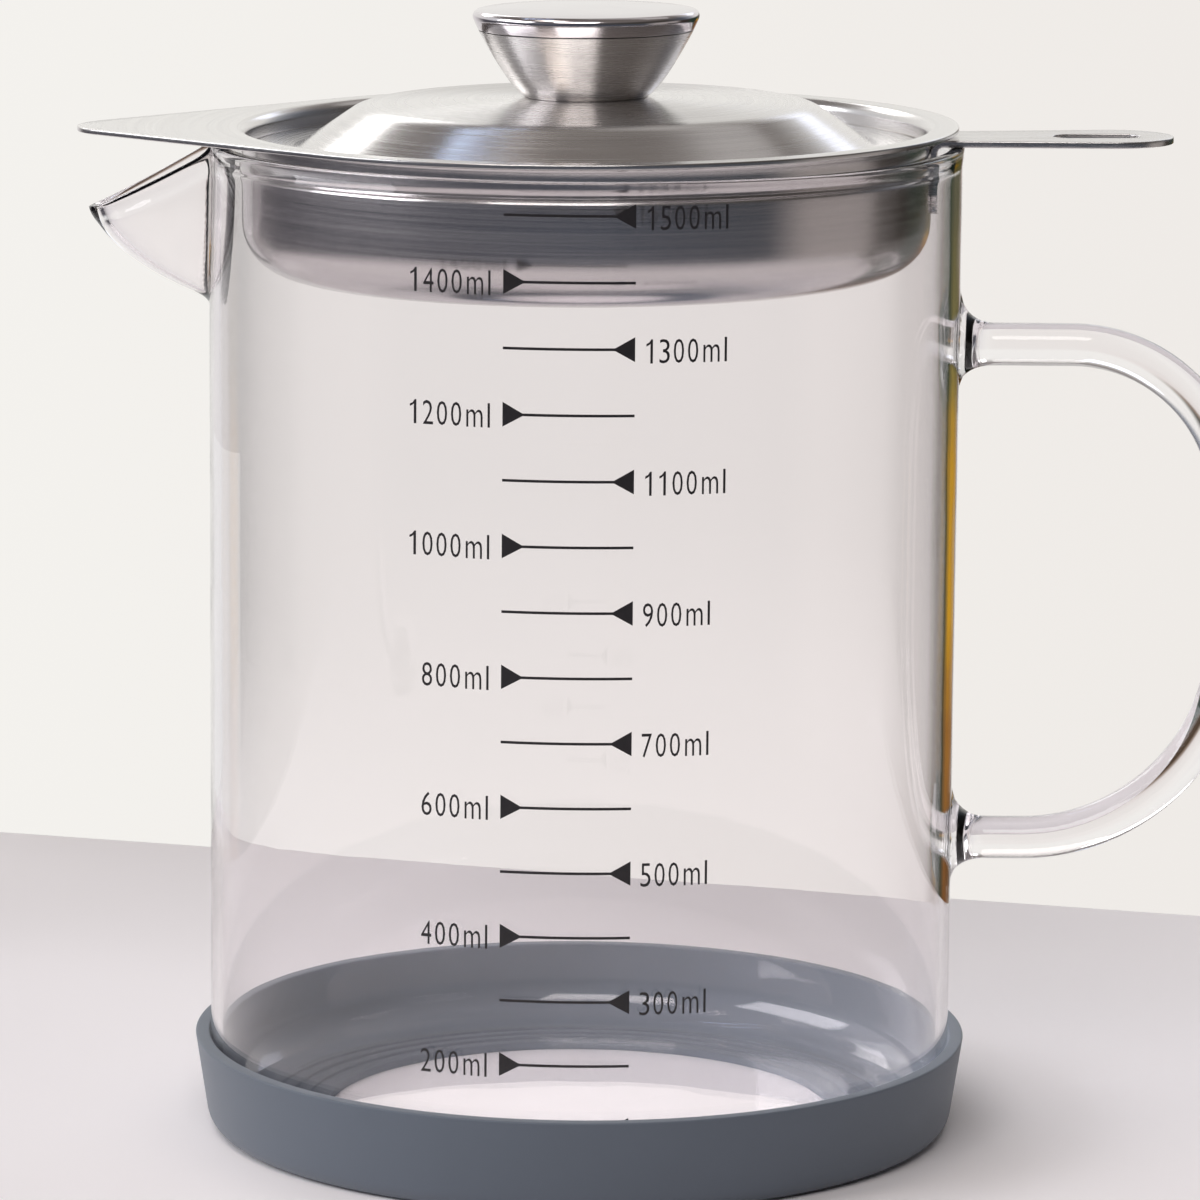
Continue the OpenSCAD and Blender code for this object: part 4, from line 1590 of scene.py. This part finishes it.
    def make_laminate(self) -> Material:
        """Matt laminate with a fine grain, which the camera sees whole.

        Metal and glass mirror it near the pot only, as they would on a narrow table.

        Returns:
            The material.
        """
        material, tree = new_material("matt_laminate")
        spot = add_node(tree, "TexCoord", output="Object")
        grains = {"Scale": self.table_grain, "Detail": 3.0}
        height = add_node(tree, "TexNoise", grains, {"Vector": spot})
        grain = add_node(tree, "Bump", {"Strength": 0.05, "Distance": 0.1 * MM}, {"Height": height})
        settings = {
            "Base Color": linear(self.table_colour),
            "Roughness": self.table_roughness,
            "Specular IOR Level": self.table_gloss,
        }
        laminate = add_node(tree, "BsdfPrincipled", settings, {"Normal": grain})
        away = add_node(tree, "VectorMath", {"operation": "LENGTH"}, {0: spot}, "Value")
        near, far = (distance * MM for distance in self.table_fade)
        fade = {"interpolation_type": "SMOOTHSTEP", 1: near, 2: far, 3: 1.0, 4: 0.0}
        either = {0: self.see_straight(tree), 1: add_node(tree, "MapRange", fade, {0: away})}
        shown = add_node(tree, "Math", {"operation": "MAXIMUM"}, either)
        clear = add_node(tree, "BsdfTransparent")
        both = add_node(tree, "MixShader", links={0: shown, 1: clear, 2: laminate})
        add_node(tree, "OutputMaterial", links={"Surface": both})
        return material

    def lay_table(self) -> None:
        """Lays the table, whose far edge runs behind the pot."""
        a, b = (Vector(point) for point in self.table_edge)
        along = (b - a).normalized()
        centre = (a + b) / 2.0 + Vector((along.y, -along.x)) * self.table_size[1] / 2.0
        middle = (centre.x, centre.y, -self.table_size[2] / 2.0)
        turn = math.atan2(along.y, along.x)
        table = make_object(draw_block(self.table_size, middle, turn), "table", sharp=30.0)
        table.data.materials.append(self.make_laminate())

    def paint_ramp(
        self, tree: NodeTree, share: NodeSocket, stops: Sequence[tuple[float, str]]
    ) -> NodeSocket:
        """Colours along a value from 0 to 1.

        Args:
            tree: The world's tree.
            share: The value.
            stops: Places from 0 to 1 with their colours.

        Returns:
            The colour's socket.
        """
        colour = add_node(tree, "ValToRGB", links={0: share})
        elements = colour.node.color_ramp.elements
        elements.remove(elements[1])
        for number, (place, code) in enumerate(stops):
            element = elements[0] if number == 0 else elements.new(place)
            element.position = place
            element.color = linear(code)
        return colour

    def hang_curtain(
        self, tree: NodeTree, compass: NodeSocket, height: NodeSocket, ring: NodeSocket
    ) -> NodeSocket:
        """Lays the curtain's colours over the lower ring.

        Args:
            tree: The world's tree.
            compass: Compass angle in radians.
            height: Sine of the elevation.
            ring: The lower ring's colour.

        Returns:
            The colour's socket.
        """
        low, high = self.curtain[0][0], self.curtain[-1][0]
        share = add_node(tree, "MapRange", {1: low, 2: high, 3: 0.0, 4: 1.0}, {0: height})
        stops = [((z - low) / (high - low), code) for z, code in self.curtain]
        cloth = self.paint_ramp(tree, share, stops)
        begin, full, last, end = (math.radians(angle) for angle in self.curtain_span)
        rising, falling = (
            add_node(tree, "MapRange", {1: a, 2: b, 3: c, 4: d}, {0: compass})
            for a, b, c, d in ((begin, full, 0.0, 1.0), (last, end, 1.0, 0.0))
        )
        both = add_node(tree, "Math", {"operation": "MULTIPLY"}, {0: rising, 1: falling})
        return add_node(tree, "Mix", {"data_type": "RGBA"}, {0: both, 6: ring, 7: cloth}, 2)

    def paint_world(self) -> None:
        """Paints the room: a pale wall behind the pot, a dark room before it and a grey ceiling."""
        world = bpy.data.worlds.new("studio")
        bpy.context.scene.world = world
        world.use_nodes = True
        tree = world.node_tree
        tree.nodes.clear()
        way = add_node(tree, "TexCoord", output="Generated")
        x, y, z = add_node(tree, "SeparateXYZ", links={0: way}).node.outputs
        compass = add_node(tree, "Math", {"operation": "ARCTAN2"}, {0: x, 1: y})
        turn = add_node(tree, "MapRange", {1: -math.pi, 2: math.pi, 3: 0.0, 4: 1.0}, {0: compass})
        low, high, wall = (
            self.paint_ramp(tree, turn, [((angle + 180.0) / 360.0, code) for angle, code in ring])
            for ring in (self.low_ring, self.high_ring, self.backdrop)
        )
        low = self.hang_curtain(tree, compass, z, low)
        smooth = {"interpolation_type": "SMOOTHSTEP", 3: 0.0, 4: 1.0}
        over, above = (
            add_node(tree, "MapRange", smooth | {1: a, 2: b}, {0: z})
            for a, b in (self.low_to_high, self.high_to_ceiling)
        )
        sides = add_node(tree, "Mix", {"data_type": "RGBA"}, {0: over, 6: low, 7: high}, 2)
        roof = {"data_type": "RGBA", 7: linear(self.ceiling)}
        room = add_node(tree, "Mix", roof, {0: above, 6: sides}, 2)
        near, far = (math.radians(angle) for angle in self.wall_turn)
        aside = add_node(tree, "Math", {"operation": "ABSOLUTE"}, {0: compass})
        front = add_node(tree, "MapRange", {1: near, 2: far, 3: 0.0, 4: 1.0}, {0: aside})
        straight = {0: self.see_straight(tree), 1: front}
        through = add_node(tree, "Math", {"operation": "MULTIPLY"}, straight)
        direct = add_node(tree, "LightPath", output="Is Camera Ray")
        share = add_node(tree, "Math", {"operation": "MAXIMUM"}, {0: through, 1: direct})
        seen = add_node(tree, "Mix", {"data_type": "RGBA"}, {0: share, 6: room, 7: wall}, 2)
        glow = add_node(tree, "Background", {"Strength": 1.0}, {"Color": seen})
        add_node(tree, "OutputWorld", links={"Surface": glow})

    def hang_lamp(self, lamp: Softbox) -> None:
        """Hangs a soft lamp that looks at the pot."""
        data = bpy.data.lights.new(lamp.name, "AREA")
        data.shape = "RECTANGLE"
        data.size, data.size_y = lamp.size
        data.energy = lamp.glow * math.pi * lamp.size[0] * lamp.size[1]
        data.color = linear(lamp.colour)[:3]
        hung = bpy.data.objects.new(lamp.name, data)
        place = lamp.place()
        turn = (ORIGIN - place).to_track_quat("-Z", "Y").to_matrix().to_4x4()
        hung.matrix_world = Matrix.Translation(place) @ turn
        bpy.context.scene.collection.objects.link(hung)

    def stand_card(self) -> None:
        """Stands a bright card low at the left, which draws the pale strip down the glass."""
        width, low, high = self.card_size
        x, y = self.card_place
        bm = bmesh.new()
        bmesh.ops.create_grid(bm, x_segments=1, y_segments=1, size=0.5)
        upright = Matrix.Rotation(math.radians(90.0), 3, "X")
        turn = Matrix.Rotation(math.atan2(-x, y), 3, "Z")
        middle = Vector((x, y, (low + high) / 2.0)) * MM
        size = Vector((width, high - low, 1.0)) * MM
        place = Matrix.LocRotScale(middle, turn @ upright, size)
        bmesh.ops.transform(bm, matrix=place, verts=bm.verts[:])
        card = make_object(bm, "card")
        material, tree = new_material("lit_card")
        light = {"Color": linear("#FFFFFF"), "Strength": self.card_glow}
        add_node(tree, "OutputMaterial", links={"Surface": add_node(tree, "Emission", light)})
        card.data.materials.append(material)
        card.visible_camera = card.visible_transmission = False

    def build(self) -> None:
        """Sets up all of the studio."""
        self.set_camera()
        self.lay_table()
        self.paint_world()
        self.stand_card()
        for lamp in self.lamps:
            self.hang_lamp(lamp)
        bpy.context.scene.view_settings.view_transform = "Standard"


def main() -> None:
    """Builds the pot, piece by piece, and the studio round it."""
    logging.basicConfig(level=logging.INFO, format="%(name)s: %(message)s")
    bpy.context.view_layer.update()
    round_steel = BrushedSteel().build()
    pan_steel = BrushedSteel(name="satin_stainless", roughness=0.2, spread=0.4, bump=0.02).build()
    plate_steel = BrushedSteel(name="brushed_stainless_plate", grain=Grain.ALONG).build()
    polished = PolishedSteel().build()
    fixing = PolishedSteel(name="zinc_plated_screw_steel", colour="#B9BAB8", roughness=0.22).build()
    wire = PolishedSteel(name="woven_stainless_wire", colour="#BDBCBC", roughness=0.2).build()
    SiliconeBoot().build(MattSilicone().build())
    GlassJug().build(BorosilicateGlass().build())
    PrintedScale().build(FiredInk().build())
    Strainer().build(pan_steel, plate_steel, wire)
    Lid().build(round_steel, polished, fixing)
    Studio().build()


if __name__ == "__main__":
    main()
